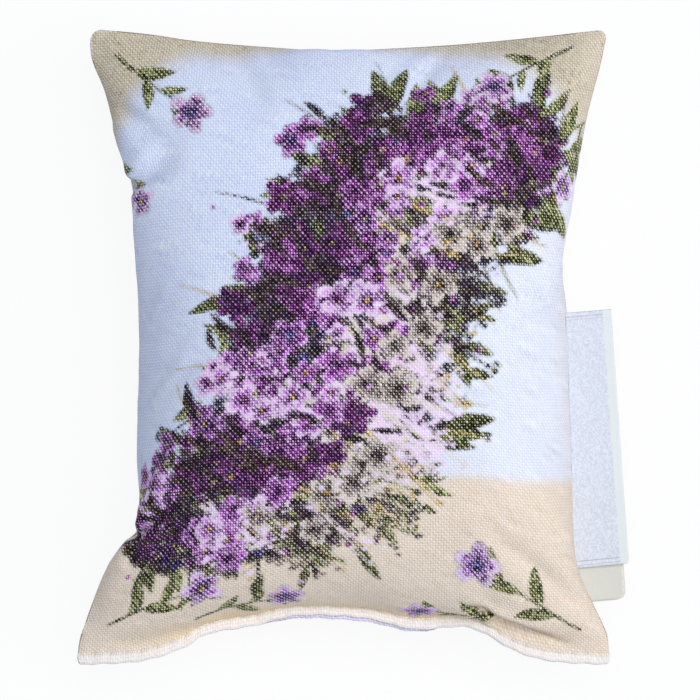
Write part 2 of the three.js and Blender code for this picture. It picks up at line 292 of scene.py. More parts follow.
def pressed(grid):
    """A panel after pressing: its finest ripples smoothed out, and its ears and the cloth along the closing
    seam smoothed SMOOTHINGS times more, by the share exp(-(d / r)^2), where d is the distance to a corner or
    to that seam and r is its reach. Of a bulge out past its own seam, seen from above, little is kept."""
    u = np.linspace(0, CUT_WIDTH, grid.shape[1])[None, :]
    v = np.linspace(0, CUT_HEIGHT, grid.shape[0])[:, None]
    corner = np.hypot(np.minimum(u, CUT_WIDTH - u), np.minimum(v, CUT_HEIGHT - v))
    share = np.exp(-((corner / CORNER_REACH) ** 2))
    share = np.maximum(share, np.exp(-((v / CLOSING_REACH) ** 2)))[..., None]
    grid = smoothed(grid)
    for _ in range(SMOOTHINGS):
        grid = smoothed(grid, share)
    x, y = grid[..., 0], grid[..., 1]
    west = np.interp(y, grid[:, 0, 1], grid[:, 0, 0])
    east = np.interp(y, grid[:, -1, 1], grid[:, -1, 0])
    x = x + BULGE_TRIM[0] * (np.maximum(west - x, 0) - np.maximum(x - east, 0))
    south = np.interp(x, grid[0, :, 0], grid[0, :, 1])
    north = np.interp(x, grid[-1, :, 0], grid[-1, :, 1])
    y = y + BULGE_TRIM[1] * (np.maximum(south - y, 0) - np.maximum(y - north, 0))
    return np.dstack([x, y, grid[..., 2]])


# How far the belly would reach below the table, and how softly the table flattens it.
BELLY_SINK = 1.3
PRESS_SOFTNESS = 1.2


def fitted(front, back):
    """The blown-up grids at the CAD's heights: each side's crown meets its own, and the table flattens the
    back.

    Where the table presses, a height h becomes (h + sqrt(h^2 + w^2)) / 2 less its own lowest value, w being
    PRESS_SOFTNESS.
    """
    front, back = pressed(front), pressed(back)
    crown = cad_corners("front_panel")[1][2] - SEAM_HEIGHT
    belly = SEAM_HEIGHT + BELLY_SINK
    seam = np.array((0, 0, SEAM_HEIGHT))
    front = front * np.array((1, 1, crown / front[..., 2].max())) + seam
    back = back * np.array((1, 1, belly / -back[..., 2].min())) + seam
    height = back[..., 2]
    rested = (height + np.sqrt(height**2 + PRESS_SOFTNESS**2)) / 2
    # The press lifts even the seam, by w^2 / 4h, which is taken off again in proportion to the height.
    lift = (SEAM_HEIGHT + math.sqrt(SEAM_HEIGHT**2 + PRESS_SOFTNESS**2)) / 2 - SEAM_HEIGHT
    rested = (rested - rested.min()) * SEAM_HEIGHT / (SEAM_HEIGHT + lift - rested.min())
    back = np.dstack([back[..., :2], rested + TABLE_CLEARANCE])
    for rim in ((0, slice(None)), (-1, slice(None)), (slice(None), 0), (slice(None), -1)):
        back[rim] = front[rim]
    return front, back


def cubic(t):
    """The four Catmull-Rom weights at a share t of a span."""
    return (
        ((2 - t) * t - 1) * t / 2,
        ((3 * t - 5) * t * t + 2) / 2,
        ((4 - 3 * t) * t + 1) * t / 2,
        (t - 1) * t * t / 2,
    )


def sampled(grid, u, v):
    """A smooth surface through a grid of points, read at shares u and v of its width and height (0 to 1)."""
    rows, columns = grid.shape[:2]
    # One more row and column on each side, each continuing the last step, so that the edge is met exactly.
    wide = np.concatenate([2 * grid[:, :1] - grid[:, 1:2], grid, 2 * grid[:, -1:] - grid[:, -2:-1]], 1)
    wide = np.concatenate([2 * wide[:1] - wide[1:2], wide, 2 * wide[-1:] - wide[-2:-1]], 0)
    x = np.clip(u, 0, 1) * (columns - 1)
    y = np.clip(v, 0, 1) * (rows - 1)
    i = np.minimum(x.astype(int), columns - 2)
    j = np.minimum(y.astype(int), rows - 2)
    total = 0
    for b, down in enumerate(cubic(y - j)):
        for a, side in enumerate(cubic(x - i)):
            total = total + (down * side)[..., None] * wide[j + b, i + a]
    return total


# Meshes

def smoothstep(low, high, x):
    """0 below low, 1 above high, and 3t^2 - 2t^3 between."""
    t = np.clip((x - low) / (high - low), 0, 1)
    return t * t * (3 - 2 * t)


def normals_of(grid):
    """Unit normals of a grid, the cross product of its two directions."""
    n = np.cross(np.gradient(grid, axis=1), np.gradient(grid, axis=0))
    return n / np.maximum(np.linalg.norm(n, axis=-1, keepdims=True), 1e-9)


def ring_of(index):
    """The vertex numbers round a grid's rim, once, counter-clockwise seen from the side its cells face."""
    return np.concatenate([index[0, :-1], index[:-1, -1], index[-1, :0:-1], index[:0:-1, 0]])


def make(name, points, faces, material, body, uv=None, colour=None):
    """An object from points in millimetres, riding on a body where one is named. uv and colour are given for
    each vertex; colour is linear."""
    mesh = bpy.data.meshes.new(name)
    mesh.from_pydata((np.asarray(points, float) * MM).tolist(), [], faces)
    mesh.validate()
    if uv is not None:
        corner = np.empty(len(mesh.loops), np.int32)
        mesh.loops.foreach_get("vertex_index", corner)
        layer = mesh.uv_layers.new(name="cloth")
        layer.uv.foreach_set("vector", np.asarray(uv, np.float32)[corner].ravel())
    if colour is not None:
        layer = mesh.color_attributes.new(name="print", type="FLOAT_COLOR", domain="POINT")
        rgba = np.concatenate([colour, np.ones((len(colour), 1))], 1)
        layer.data.foreach_set("color", rgba.astype(np.float32).ravel())
    mesh.shade_smooth()
    mesh.materials.append(material)
    obj = bpy.data.objects.new(name, mesh)
    bpy.context.scene.collection.objects.link(obj)
    if body is not None:
        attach(obj, body)
    return obj


def shell(outer, inward, flipped):
    """A closed cloth shell: the outer grid, every INNER_STEP-th point of the inward one, and their rim."""
    inner = inward[::INNER_STEP, ::INNER_STEP]
    over = np.arange(outer[..., 0].size).reshape(outer.shape[:2])
    under = over.size + np.arange(inner[..., 0].size).reshape(inner.shape[:2])
    fine, coarse = ring_of(over), ring_of(under)
    f = [np.roll(fine, -k)[::INNER_STEP] for k in range(INNER_STEP + 1)]
    c, after = coarse, np.roll(coarse, -1)
    fans = [np.stack([f[k + 1], f[k], c], 1) for k in range(INNER_STEP - 1)]
    closing = np.stack([f[INNER_STEP], f[INNER_STEP - 1], c, after], 1)
    faces = [quads(over, flipped), quads(under, not flipped)]
    rim = [*fans, closing]
    if flipped:
        rim = [part[:, ::-1] for part in rim]
    faces = [row for part in [*faces, *rim] for row in part.tolist()]
    return np.vstack([outer.reshape(-1, 3), inner.reshape(-1, 3)]), faces


def unit(vectors):
    """Vectors brought to a length of 1."""
    return vectors / np.linalg.norm(vectors, axis=-1, keepdims=True)


def tube(path, side, radius, sides):
    """A closed tube along a path. side is a unit vector across the path at each of its points."""
    along = unit(np.gradient(path, axis=0))
    up = unit(np.cross(along, side))
    across = np.cross(up, along)
    turn = np.linspace(0, 2 * np.pi, sides, endpoint=False)
    ring = np.cos(turn)[None, :, None] * across[:, None] + np.sin(turn)[None, :, None] * up[:, None]
    points = path[:, None] + ring * radius
    index = np.arange(len(path) * sides).reshape(len(path), sides)
    index = np.concatenate([index, index[:, :1]], 1)
    faces = quads(index).tolist() + [index[0, :sides][::-1].tolist(), index[-1, :sides].tolist()]
    run = run_along(path)
    uv = np.stack([np.repeat(run, sides), np.tile(turn / (2 * np.pi), len(path))], 1)
    return points.reshape(-1, 3), faces, uv


# Materials

def add_node(tree, kind, *inputs, **settings):
    """A shader node. Of its inputs, in order, a socket is linked, a value is set, and None is left."""
    made = tree.nodes.new("ShaderNode" + kind)
    for key, value in settings.items():
        setattr(made, key, value)
    for socket, value in zip(made.inputs, inputs):
        if isinstance(value, bpy.types.NodeSocket):
            tree.links.new(value, socket)
        elif value is not None:
            socket.default_value = value
    return made


class Finish:
    """A material under construction: its nodes, and sums worked out by them."""

    def __init__(self, name, roughness, specular=0.25, sheen=0.0):
        self.material = bpy.data.materials.new(name)
        self.material.use_nodes = True
        self.tree = self.material.node_tree
        self.shader = self.tree.nodes["Principled BSDF"]
        self.shader.inputs["Roughness"].default_value = roughness
        self.shader.inputs["Specular IOR Level"].default_value = specular
        self.shader.inputs["Sheen Weight"].default_value = sheen
        self.shader.inputs["Sheen Roughness"].default_value = 0.4

    def node(self, kind, *inputs, **settings):
        """A node of this material."""
        return add_node(self.tree, kind, *inputs, **settings)

    def sum(self, operation, *values):
        """The result of one Math node."""
        return self.node("Math", *values, operation=operation).outputs[0]

    def step(self, value, low, high, start=0.0, end=1.0):
        """value taken from low..high to start..end, smoothly, and held outside."""
        made = self.node("MapRange", value, low, high, start, end, interpolation_type="SMOOTHSTEP")
        return made.outputs[0]

    def blend(self, share, first, second, mode="MIX"):
        """Two colours mixed, or put together in another mode, by a share of 0 to 1."""
        made = self.tree.nodes.new("ShaderNodeMix")
        made.data_type = "RGBA"
        made.blend_type = mode
        for socket, value in ((made.inputs[0], share), (made.inputs[6], first), (made.inputs[7], second)):
            if isinstance(value, bpy.types.NodeSocket):
                self.tree.links.new(value, socket)
            else:
                socket.default_value = value
        return made.outputs[2]

    def grey(self, value):
        """A number as a colour."""
        return self.node("CombineColor", value, value, value).outputs[0]

    def cloth_place(self):
        """The two coordinates of the piece's own map, in millimetres of flat cloth."""
        own = self.node("UVMap", uv_map="cloth").outputs[0]
        apart = self.node("SeparateXYZ", own)
        return own, apart.outputs[0], apart.outputs[1]

    def relief(self, height, distance):
        """A bump from a height of 0 to 1 that stands for a distance in millimetres."""
        bump = self.tree.nodes.new("ShaderNodeBump")
        bump.inputs["Distance"].default_value = distance * MM
        self.tree.links.new(height, bump.inputs["Height"])
        self.tree.links.new(bump.outputs[0], self.shader.inputs["Normal"])

    def colour(self, value):
        """Links a colour to the shader."""
        self.tree.links.new(value, self.shader.inputs["Base Color"])


# The distance between threads: the printed cloth's across and up, and the ribbons' along and across.
THREAD_PITCH = (0.515, 0.575)
RIBBON_PITCH = (0.34, 0.26)


def weave(finish, u, v, pitch):
    """Plain weave: each thread's profile is |sin|, and the one on top changes at every crossing.

    Gives the height 0..1, the gap between threads 0..1, the crown of each crossing 0..1, the ribs that the
    floats make across the cloth, -1..1, and each crossing's own number as a vector. The floats sit like the
    dark squares of a chessboard, and the twist of the yarn joins them into ribs that lean to the left.
    """
    turn_u = finish.sum("MULTIPLY", u, math.pi / pitch[0])
    turn_v = finish.sum("MULTIPLY", v, math.pi / pitch[1])
    wave_u = finish.sum("SINE", turn_u)
    wave_v = finish.sum("SINE", turn_v)
    warp = finish.sum("ABSOLUTE", wave_u)
    weft = finish.sum("ABSOLUTE", wave_v)
    swap = finish.sum("MULTIPLY", finish.sum("MULTIPLY", wave_u, wave_v), 2.5)
    swap = finish.node("Clamp", swap, -1.0, 1.0).outputs[0]
    over = finish.sum("MULTIPLY_ADD", swap, 0.4, 0.6)
    under = finish.sum("MULTIPLY_ADD", swap, -0.4, 0.6)
    height = finish.sum("MAXIMUM", finish.sum("MULTIPLY", warp, over), finish.sum("MULTIPLY", weft, under))
    gap = finish.sum("MULTIPLY", finish.sum("SUBTRACT", 1.0, warp), finish.sum("SUBTRACT", 1.0, weft))
    crown = finish.sum("POWER", finish.sum("MULTIPLY", warp, weft), 3.0)
    rising = finish.sum("COSINE", finish.sum("SUBTRACT", turn_u, turn_v))
    falling = finish.sum("COSINE", finish.sum("ADD", turn_u, turn_v))
    ribs = finish.sum("MULTIPLY_ADD", rising, 0.23, finish.sum("MULTIPLY", falling, -0.77))
    cell = finish.node(
        "CombineXYZ",
        finish.sum("FLOOR", finish.sum("DIVIDE", u, pitch[0])),
        finish.sum("FLOOR", finish.sum("DIVIDE", v, pitch[1])),
    ).outputs[0]
    return height, gap, crown, ribs, cell


# The most that ink pales on a crown, as a power, and the painted shade in the pores between the threads.
LOWEST_POWER = 0.26
PORE_SHADE = (0.22, 0.21, 0.24, 1)


def printed_cloth(name):
    """Printed plain weave. The picture is the piece's own attribute.

    Ink sinks between the floats and wears off their tops: at each point it is raised to the power exp(-k
    tone), which deepens it in the hollows and pales it on the crowns, down to LOWEST_POWER. k is greatest for
    colours of middle strength and small for pale cloth. Strong colours are also broken into dabs of about a
    millimetre.
    """
    finish = Finish(name, roughness=0.88, specular=0.12, sheen=0.03)
    own, u, v = finish.cloth_place()
    drift = finish.node("TexNoise", own, None, 0.11, 2.0, 0.5, noise_dimensions="2D").outputs["Fac"]
    u = finish.sum("MULTIPLY_ADD", drift, 0.7, u)
    v = finish.sum("MULTIPLY_ADD", drift, -0.6, v)
    height, gap, crown, ribs, cell = weave(finish, u, v, THREAD_PITCH)
    ink = finish.node("Attribute", attribute_name="print").outputs["Color"]
    value = finish.node("RGBToBW", ink).outputs[0]
    strong = finish.step(value, 0.62, 0.40)
    chances = finish.node("TexWhiteNoise", cell, noise_dimensions="2D").outputs["Color"]
    chances = finish.node("SeparateColor", chances)
    # Each cell of a Voronoi pattern is a touch of the brush, lighter or darker than its neighbours.
    touch = finish.node("TexVoronoi", own, None, 1.05, voronoi_dimensions="2D").outputs["Color"]
    touch = finish.node("SeparateColor", touch).outputs[0]
    touch = finish.sum("SUBTRACT", touch, 0.5)
    touch = finish.sum("MULTIPLY_ADD", touch, finish.sum("MULTIPLY", strong, 0.6), 1.0)
    ink = finish.blend(1.0, ink, finish.grey(touch), "MULTIPLY")
    tone = finish.sum("MULTIPLY", ribs, finish.sum("MULTIPLY_ADD", chances.outputs[0], 0.7, 0.35))
    share = finish.sum("MULTIPLY_ADD", chances.outputs[1], 2.0, 0.8)
    tone = finish.sum("MULTIPLY_ADD", finish.sum("SUBTRACT", crown, 0.25), share, tone)
    uneven = finish.sum("MULTIPLY_ADD", strong, 0.8, 0.3)
    tone = finish.sum("MULTIPLY_ADD", finish.sum("SUBTRACT", chances.outputs[2], 0.5), uneven, tone)
    dark_depth = finish.step(value, 0.02, 0.10, 0.65, 1.15)
    depth = finish.sum("MULTIPLY", dark_depth, finish.step(strong, 0.0, 1.0, 0.38, 1.0))
    power = finish.sum("EXPONENT", finish.sum("MULTIPLY", finish.sum("MULTIPLY", tone, depth), -1.0))
    power = finish.sum("MAXIMUM", power, LOWEST_POWER)
    inked = finish.node("Gamma", ink, power).outputs[0]
    # Painted shade darkens the pores between the threads.
    shaded_pores = finish.step(gap, 0.2, 0.95)
    shaded_pores = finish.sum("MULTIPLY", shaded_pores, finish.sum("MULTIPLY_ADD", strong, -0.08, 0.12))
    finish.colour(finish.blend(shaded_pores, inked, PORE_SHADE))
    finish.relief(height, 0.09)
    return finish.material


# The length of thread for each turn of its twist.
TWIST_PITCH = 0.45


def sewing_thread(name, colour):
    """Twisted cotton: grooves run round the thread every TWIST_PITCH of its length, darkened with painted
    shade.
    """
    finish = Finish(name, roughness=0.7, sheen=0.2)
    _, along, around = finish.cloth_place()
    twist = finish.sum("MULTIPLY_ADD", along, 1 / TWIST_PITCH, around)
    groove = finish.sum("ABSOLUTE", finish.sum("SINE", finish.sum("MULTIPLY", twist, math.pi)))
    # Painted shade in the twist's grooves.
    groove_shade = [part * 0.55 for part in colour]
    finish.colour(finish.blend(finish.step(groove, 0.0, 0.55), [*groove_shade, 1], [*colour, 1]))
    finish.relief(groove, 0.05)
    return finish.material


def ribbon_cloth(name, field, edge, field_span, line_ends):
    """A woven ribbon label. Across it, a matt field between two distances from the fold is ribbed, and the
    rest is smooth satin; thin lines cross the field near its ends."""
    finish = Finish(name, roughness=0.55, sheen=0.25)
    _, along, across = finish.cloth_place()
    height, gap, _, _, cell = weave(finish, along, across, RIBBON_PITCH)
    chance = finish.node("TexWhiteNoise", cell, noise_dimensions="2D").outputs["Value"]
    low, high = field_span
    inside = finish.step(across, low, low + 0.4)
    inside = finish.sum("MULTIPLY", inside, finish.step(across, high, high - 0.4))
    tone = finish.sum("MULTIPLY_ADD", chance, finish.sum("MULTIPLY", inside, 0.22), 0.89)
    cloth = finish.blend(inside, [*edge, 1], [*field, 1])
    cloth = finish.blend(1.0, cloth, finish.grey(tone), "MULTIPLY")
    for place, width, strength in line_ends:
        near = finish.sum("ABSOLUTE", finish.sum("SUBTRACT", along, place))
        line = finish.step(near, width, width * 0.4)
        line = finish.sum("MULTIPLY", line, finish.sum("MULTIPLY", inside, strength))
        cloth = finish.blend(line, cloth, (0.30, 0.31, 0.36, 1))
    # Painted shade darkens the pores between the ribbon's threads.
    shaded_pores = finish.sum("MULTIPLY", finish.step(gap, 0.2, 0.9), 0.25)
    finish.colour(finish.blend(shaded_pores, cloth, (0.35, 0.35, 0.38, 1)))
    finish.relief(height, 0.05)
    return finish.material


def dried_buds(name):
    """Dried flower buds: grey violet husks, straw stalks between, and dust."""
    finish = Finish(name, roughness=0.9)
    place = finish.node("TexCoord").outputs["Object"]
    grain = finish.node("TexVoronoi", place, None, 420.0)
    speck = finish.node("TexNoise", place, None, 900.0, 3.0, 0.6).outputs["Fac"]
    husk = finish.node("ValToRGB", finish.node("SeparateColor", grain.outputs["Color"]).outputs[0])
    ramp = husk.color_ramp
    ramp.elements[0].color = (0.10, 0.07, 0.13, 1)
    ramp.elements[1].color = (0.36, 0.30, 0.20, 1)
    middle = ramp.elements.new(0.6)
    middle.color = (0.20, 0.15, 0.22, 1)
    finish.colour(finish.blend(finish.sum("MULTIPLY", speck, 0.5), husk.outputs[0], (0.24, 0.21, 0.17, 1)))
    finish.relief(finish.sum("SUBTRACT", 1.0, grain.outputs["Distance"]), 0.4)
    return finish.material


# The printed picture: a generic garland of flowers, painted in numbers on the flat cut

class Picture:
    """Linear colours on an even raster of flat cloth, in millimetres from its lower left corner."""

    def __init__(self, width, height, pitch=0.4):
        self.pitch = pitch
        self.x = np.arange(int(width / pitch) + 2) * pitch
        self.y = np.arange(int(height / pitch) + 2) * pitch
        self.colour = np.ones((len(self.y), len(self.x), 3))

    def window(self, centre, reach):
        """Slices of the raster within reach of a centre, and the offsets of its points from that centre."""
        spans = []
        for places, middle in ((self.x, centre[0]), (self.y, centre[1])):
            ends = np.searchsorted(places, (middle - reach, middle + reach))
            spans.append(slice(*np.clip(ends, 0, len(places))))
        across, up = spans
        return (up, across), self.x[None, across] - centre[0], self.y[up, None] - centre[1]

    def lay(self, place, cover, colour):
        """Puts a colour over the raster at a place, as far as cover says (0 to 1)."""
        cover = np.clip(cover, 0, 1)[..., None]
        self.colour[place] = self.colour[place] * (1 - cover) + np.asarray(colour) * cover

    def read(self, x, y):
        """The colour at any points, straight between the raster's."""
        a = np.clip(x / self.pitch, 0, len(self.x) - 1.001)
        b = np.clip(y / self.pitch, 0, len(self.y) - 1.001)
        i, j = a.astype(int), b.astype(int)
        s, t = (a - i)[..., None], (b - j)[..., None]
        c = self.colour
        lower = c[j, i] * (1 - s) + c[j, i + 1] * s
        upper = c[j + 1, i] * (1 - s) + c[j + 1, i + 1] * s
        return lower * (1 - t) + upper * t


def mottled(x, y, size, seed):
    """Smooth noise of about -1 to 1: the sum of seven random sine waves near a given size, over 2.6."""
    chance = np.random.default_rng(seed)
    total = 0
    turns, stretches, phases = (chance.uniform(*span, 7) for span in ((0, np.pi), (0.6, 1.7), (0, 9)))
    for turn, stretch, phase in zip(turns, stretches, phases):
        run = x * math.cos(turn) + y * math.sin(turn)
        total = total + np.sin(run * 2 * np.pi / (size * stretch) + phase)
    return total / 2.6


INKS = {
    "night": (0.028, 0.012, 0.034),
    "bark": (0.042, 0.026, 0.023),
    "violet": (0.080, 0.020, 0.115),
    "plum": (0.140, 0.024, 0.130),
    "purple": (0.230, 0.048, 0.250),
    "orchid": (0.440, 0.140, 0.470),
    "lilac": (0.640, 0.350, 0.720),
    "mist": (0.880, 0.720, 0.920),
    "indigo": (0.080, 0.070, 0.230),
    "olive": (0.135, 0.145, 0.050),
    "moss": (0.300, 0.310, 0.130),
    "taupe": (0.330, 0.270, 0.250),
    "straw": (0.560, 0.420, 0.170),
    "gold": (0.560, 0.360, 0.080),
    "cream": (0.760, 0.690, 0.640),
}
INKS = {name: np.array(ink) for name, ink in INKS.items()}
CLOTH_WHITE = np.array((0.78, 0.81, 0.92))
CLOTH_COOL = np.array((0.70, 0.76, 0.95))
CLOTH_BEIGE = np.array((0.81, 0.70, 0.59))
CLOTH_SAND = np.array((0.63, 0.555, 0.43))
CLOTH_LILAC = np.array((0.74, 0.70, 0.86))
# Painted warm shade: the tan laid on steep cloth above the closing seam and in the valley by the lower right
# ear.
WARM_SHADE_TAN = np.array((0.91, 0.72, 0.47))
# The lip's pale colour: wear, and painted light where the lip faces up.
WORN_LIT_LIP = np.array((0.92, 0.865, 0.84))


def toward(angle):
    """The unit vector at an angle."""
    return np.array((math.cos(angle), math.sin(angle)))


def angle_of(vector):
    """The angle that a vector points at."""
    return math.atan2(vector[1], vector[0])


def blade(root, angle, reach, bend):
    """Four points along a bent stalk: reach * q along the angle and bend * q^2 to its left, q from 0 to 1."""
    run = toward(angle)
    side = np.array((-run[1], run[0]))
    return [root + reach * q * run + bend * q * q * side for q in (0, 0.35, 0.7, 1)]


def graded(names, light, slip):
    """One of the inks named from dark to pale: the lightness of 0 to 1 picks it, slipped by some places."""
    return INKS[names[int(np.clip(len(names) * light + slip, 0, len(names) - 1))]]


def blossom(picture, centre, radius, turn, inks, seed):
    """A five-petalled flower: its edge is at radius * (0.5 + 0.5 |cos 2.5a|^0.7), where a is the angle less
    turn.

    Each petal runs from a dark throat to a pale rim with a thin dark outline, and two fine veins; a gold eye
    with dark dots sits in the middle.
    """
    place, dx, dy = picture.window(centre, radius * 1.15)
    r = np.hypot(dx, dy)
    a = np.arctan2(dy, dx) - turn
    petal = np.round(a / (0.4 * np.pi))
    off = a - petal * 0.4 * np.pi
    wobble = 1 + 0.06 * np.sin(3 * a + seed) + 0.04 * np.sin(7 * a + 2 * seed)
    edge = radius * (0.5 + 0.5 * np.abs(np.cos(2.5 * a)) ** 0.7) * wobble
    t = np.clip(r / edge, 0, 1.3)
    throat, body, rim = inks
    shade = 0.82 + 0.36 * ((np.sin(petal * 12.9898 + seed * 7.23) * 43.758) % 1)
    inner = smoothstep(0.15, 0.55, t)[..., None]
    outer = smoothstep(0.5, 0.95, t)[..., None]
    colour = (throat * (1 - inner) + body * inner) * (1 - outer) + rim * outer
    vein = np.exp(-((np.abs(off) - 0.16) / 0.05) ** 2) * smoothstep(0.2, 0.4, t) * smoothstep(0.95, 0.7, t)
    crease = smoothstep(0.40, 0.62, np.abs(off)) * 0.45 + 0.3 * vein + 0.35 * smoothstep(0.86, 0.97, t)
    colour = colour * (shade * (1 - crease))[..., None]
    picture.lay(place, smoothstep(edge + 0.25, edge - 0.25, r), colour)
    eye = smoothstep(0.19, 0.10, r / radius)
    picture.lay(place, eye * 0.9, INKS["gold"] if seed % 1 < 0.4 else throat)
    dots = smoothstep(0.3, 0.9, np.cos(6 * a)) * np.exp(-((r / radius - 0.20) / 0.06) ** 2)
    picture.lay(place, dots * 0.9, INKS["bark"])


def leaf(picture, root, tip, width, bend, inks):
    """A pointed leaf: half its width is width * sin(pi t)^0.8 along its length t, shifted aside by 4 bend t(1
    - t).

    The lower half is darker, and the midrib and the side veins are pale.
    """
    root, tip = np.asarray(root, float), np.asarray(tip, float)
    length = np.linalg.norm(tip - root)
    along = (tip - root) / length
    place, dx, dy = picture.window((root + tip) / 2, length * 0.6 + width + abs(bend))
    mid = (root + tip) / 2
    t = ((dx + mid[0] - root[0]) * along[0] + (dy + mid[1] - root[1]) * along[1]) / length
    s = (dy + mid[1] - root[1]) * along[0] - (dx + mid[0] - root[0]) * along[1] - bend * 4 * t * (1 - t)
    half = width * np.sin(np.pi * np.clip(t, 0, 1)) ** 0.8 * (1.15 - 0.3 * t)
    dark, light = inks
    side = smoothstep(-0.5 * width, 0.7 * width, s)[..., None]
    colour = dark * (1 - side) + light * side
    ribs = 0.5 + 0.5 * np.cos(2 * np.pi * (t * length - 1.4 * np.abs(s)) / 1.5)
    colour = colour * (0.86 + 0.22 * ribs)[..., None]
    inside = smoothstep(0.18, -0.18, np.abs(s) - half) * (t > 0) * (t < 1)
    picture.lay(place, inside, colour)
    rib = smoothstep(0.28, 0.05, np.abs(s)) * (t > 0.02) * (t < 0.9)
    picture.lay(place, inside * rib * 0.7, light * 1.5)


def stem(picture, points, width, ink):
    """A thin line through points, thinner towards its end, laid as short overlapping dabs."""
    line = evenly(curve_through(np.asarray(points, float), 12), max(8, int(len(points) * 14)))
    for share, at in zip(np.linspace(0, 1, len(line)), line):
        size = width * (1.1 - 0.7 * share)
        place, dx, dy = picture.window(at, size * 2 + 0.6)
        picture.lay(place, smoothstep(size + 0.2, size - 0.2, np.hypot(dx, dy)), ink)


def sprig(picture, root, heading, size, chance):
    """A stem with pairs of leaves and a small flower at its end."""
    way = toward(heading)
    aside = np.array((-way[1], way[0]))
    curl = chance.uniform(-0.25, 0.25) * size

    def stalk(t):
        """The point at a share t of the stem's length."""
        return np.asarray(root) + way * size * t + aside * curl * t * t

    points = [stalk(t) for t in (0, 0.35, 0.7, 1)]
    stem(picture, points, 0.32, INKS["olive"])
    for t, side in ((0.25, 1), (0.4, -1), (0.6, 1), (0.78, -1)):
        at = stalk(t)
        lean = heading + side * chance.uniform(0.55, 0.95)
        reach = size * chance.uniform(0.30, 0.42) * (1.15 - 0.5 * t)
        tip = at + reach * toward(lean)
        leaf(picture, at, tip, reach * 0.17, side * -0.08 * reach, (INKS["olive"], INKS["moss"]))
    inks = (INKS["indigo"], INKS["lilac"] * 0.8, INKS["mist"] * 0.95)
    blossom(picture, points[-1], size * 0.17 + 0.9, chance.uniform(0, 6), inks, chance.uniform(0, 9))


def garland_centre(t):
    """The garland's middle line: an S that climbs from the lower left to the upper right of the cut."""
    return np.stack([15 + 76 * t + 8 * np.sin(2 * np.pi * t), 31 + 76 * t - 8 * np.sin(2 * np.pi * t)], -1)


# The way the dry grass hangs out of the garland.
GRASS_SIDE = np.array((0.77, -0.64))


def garland_width(t):
    """Half the garland's width: full in the middle, slim at both ends."""
    return 8.0 + 17.5 * np.sin(np.pi * np.clip(t, 0, 1)) ** 0.7


def garland_share(x, y):
    """How far out in the garland a point lies: its distance from the middle over the half width there."""
    share = 9.0
    for t in np.linspace(0, 1, 70):
        centre = garland_centre(t)
        share = np.minimum(share, np.hypot(x - centre[0], y - centre[1]) / garland_width(t))
    return share


def scattered(chance, count, spread):
    """Places in the garland: t along it, and the point, up to spread half widths from its middle line."""
    for _ in range(count):
        t = chance.uniform(-0.02, 1.02)
        way = chance.uniform(0, 2 * math.pi)
        out = spread * math.sqrt(chance.uniform(0, 1)) * garland_width(t)
        yield t, garland_centre(t) + out * toward(way)


def dab(picture, at, size, squeeze, ink, cover=0.9):
    """A small soft-edged touch of the brush, an ellipse squeezed in height."""
    place, dx, dy = picture.window(at, size * 1.6 + 0.5)
    picture.lay(place, smoothstep(size + 0.25, size - 0.25, np.hypot(dx, dy * squeeze)) * cover, ink)


# The garland's light and dark patches: how wide they are, and the seeds of the flowers' and of the grass's.
PATCH = 23
FLOWER_PATCHES = 14
GRASS_PATCHES = 31


def mood(at, seed):
    """0 in a dark patch of the garland and 1 in a light one."""
    return np.clip(0.5 + 0.75 * mottled(at[0], at[1], PATCH, seed), 0, 1)


def lay_ground(picture):
    """A pale field under an arch, bluer to the upper left, on beige that is deeper in the top corners."""
    x, y = picture.x[None, :], picture.y[:, None]
    cool = smoothstep(0.25, 0.75, 0.6 * (1 - x / CUT_WIDTH) + 0.4 * y / CUT_HEIGHT)[..., None]
    field = CLOTH_WHITE * (1 - cool) + CLOTH_COOL * cool
    arch = (np.abs((x - CUT_WIDTH / 2) / 60) ** 2.6 + (np.maximum(y - 60, 0) / 76) ** 2.6) ** (1 / 2.6)
    arch = smoothstep(0.92, 1.03, arch + 0.012 * mottled(x, y, 22, 1))[..., None]
    picture.colour[:] = field * (1 - arch) + CLOTH_SAND * arch
    ground = smoothstep(42.5, 39.5, y + 0.4 * mottled(x, y, 30, 1))
    picture.lay(slice(None), ground, CLOTH_BEIGE)
    picture.lay(slice(None), 0.3 * smoothstep(96, CUT_WIDTH, x) + 0 * y, CLOTH_BEIGE)
    wash = 1 + 0.012 * mottled(x, y, 18, 2) + 0.006 * mottled(x, y, 6, 3)
    picture.colour *= wash[..., None]
    # Painted warm shade and bounce light: a tan band over the closing seam, where the cloth turns steeply
    # down to the lip. The lip is pale, partly from wear and partly as painted light where it faces up.
    painted_warm_shade = smoothstep(LIP - 0.4, LIP + 0.5, y) * smoothstep(LIP + 8.0, LIP + 1.5, y)
    painted_warm_shade = painted_warm_shade * smoothstep(6, 30, x) * smoothstep(CUT_WIDTH - 18, CUT_WIDTH - 32, x)
    picture.lay(slice(None), 0.85 * painted_warm_shade, WARM_SHADE_TAN)
    # Painted shade in the valley beside the lower right ear, which is deep enough to look brown.
    painted_valley_shade = np.exp(-(((x - 91) / 7.5) ** 2) - ((y - LIP - 4.3 + 0.2 * (x - 91)) / 1.7) ** 2)
    picture.lay(slice(None), 0.55 * painted_valley_shade, WARM_SHADE_TAN * 0.7)
    # The lip: worn pale, and painted lighter where it faces the light.
    picture.lay(slice(None), 0.95 * smoothstep(LIP + 0.3, LIP - 0.6, y) + 0 * x, WORN_LIT_LIP)


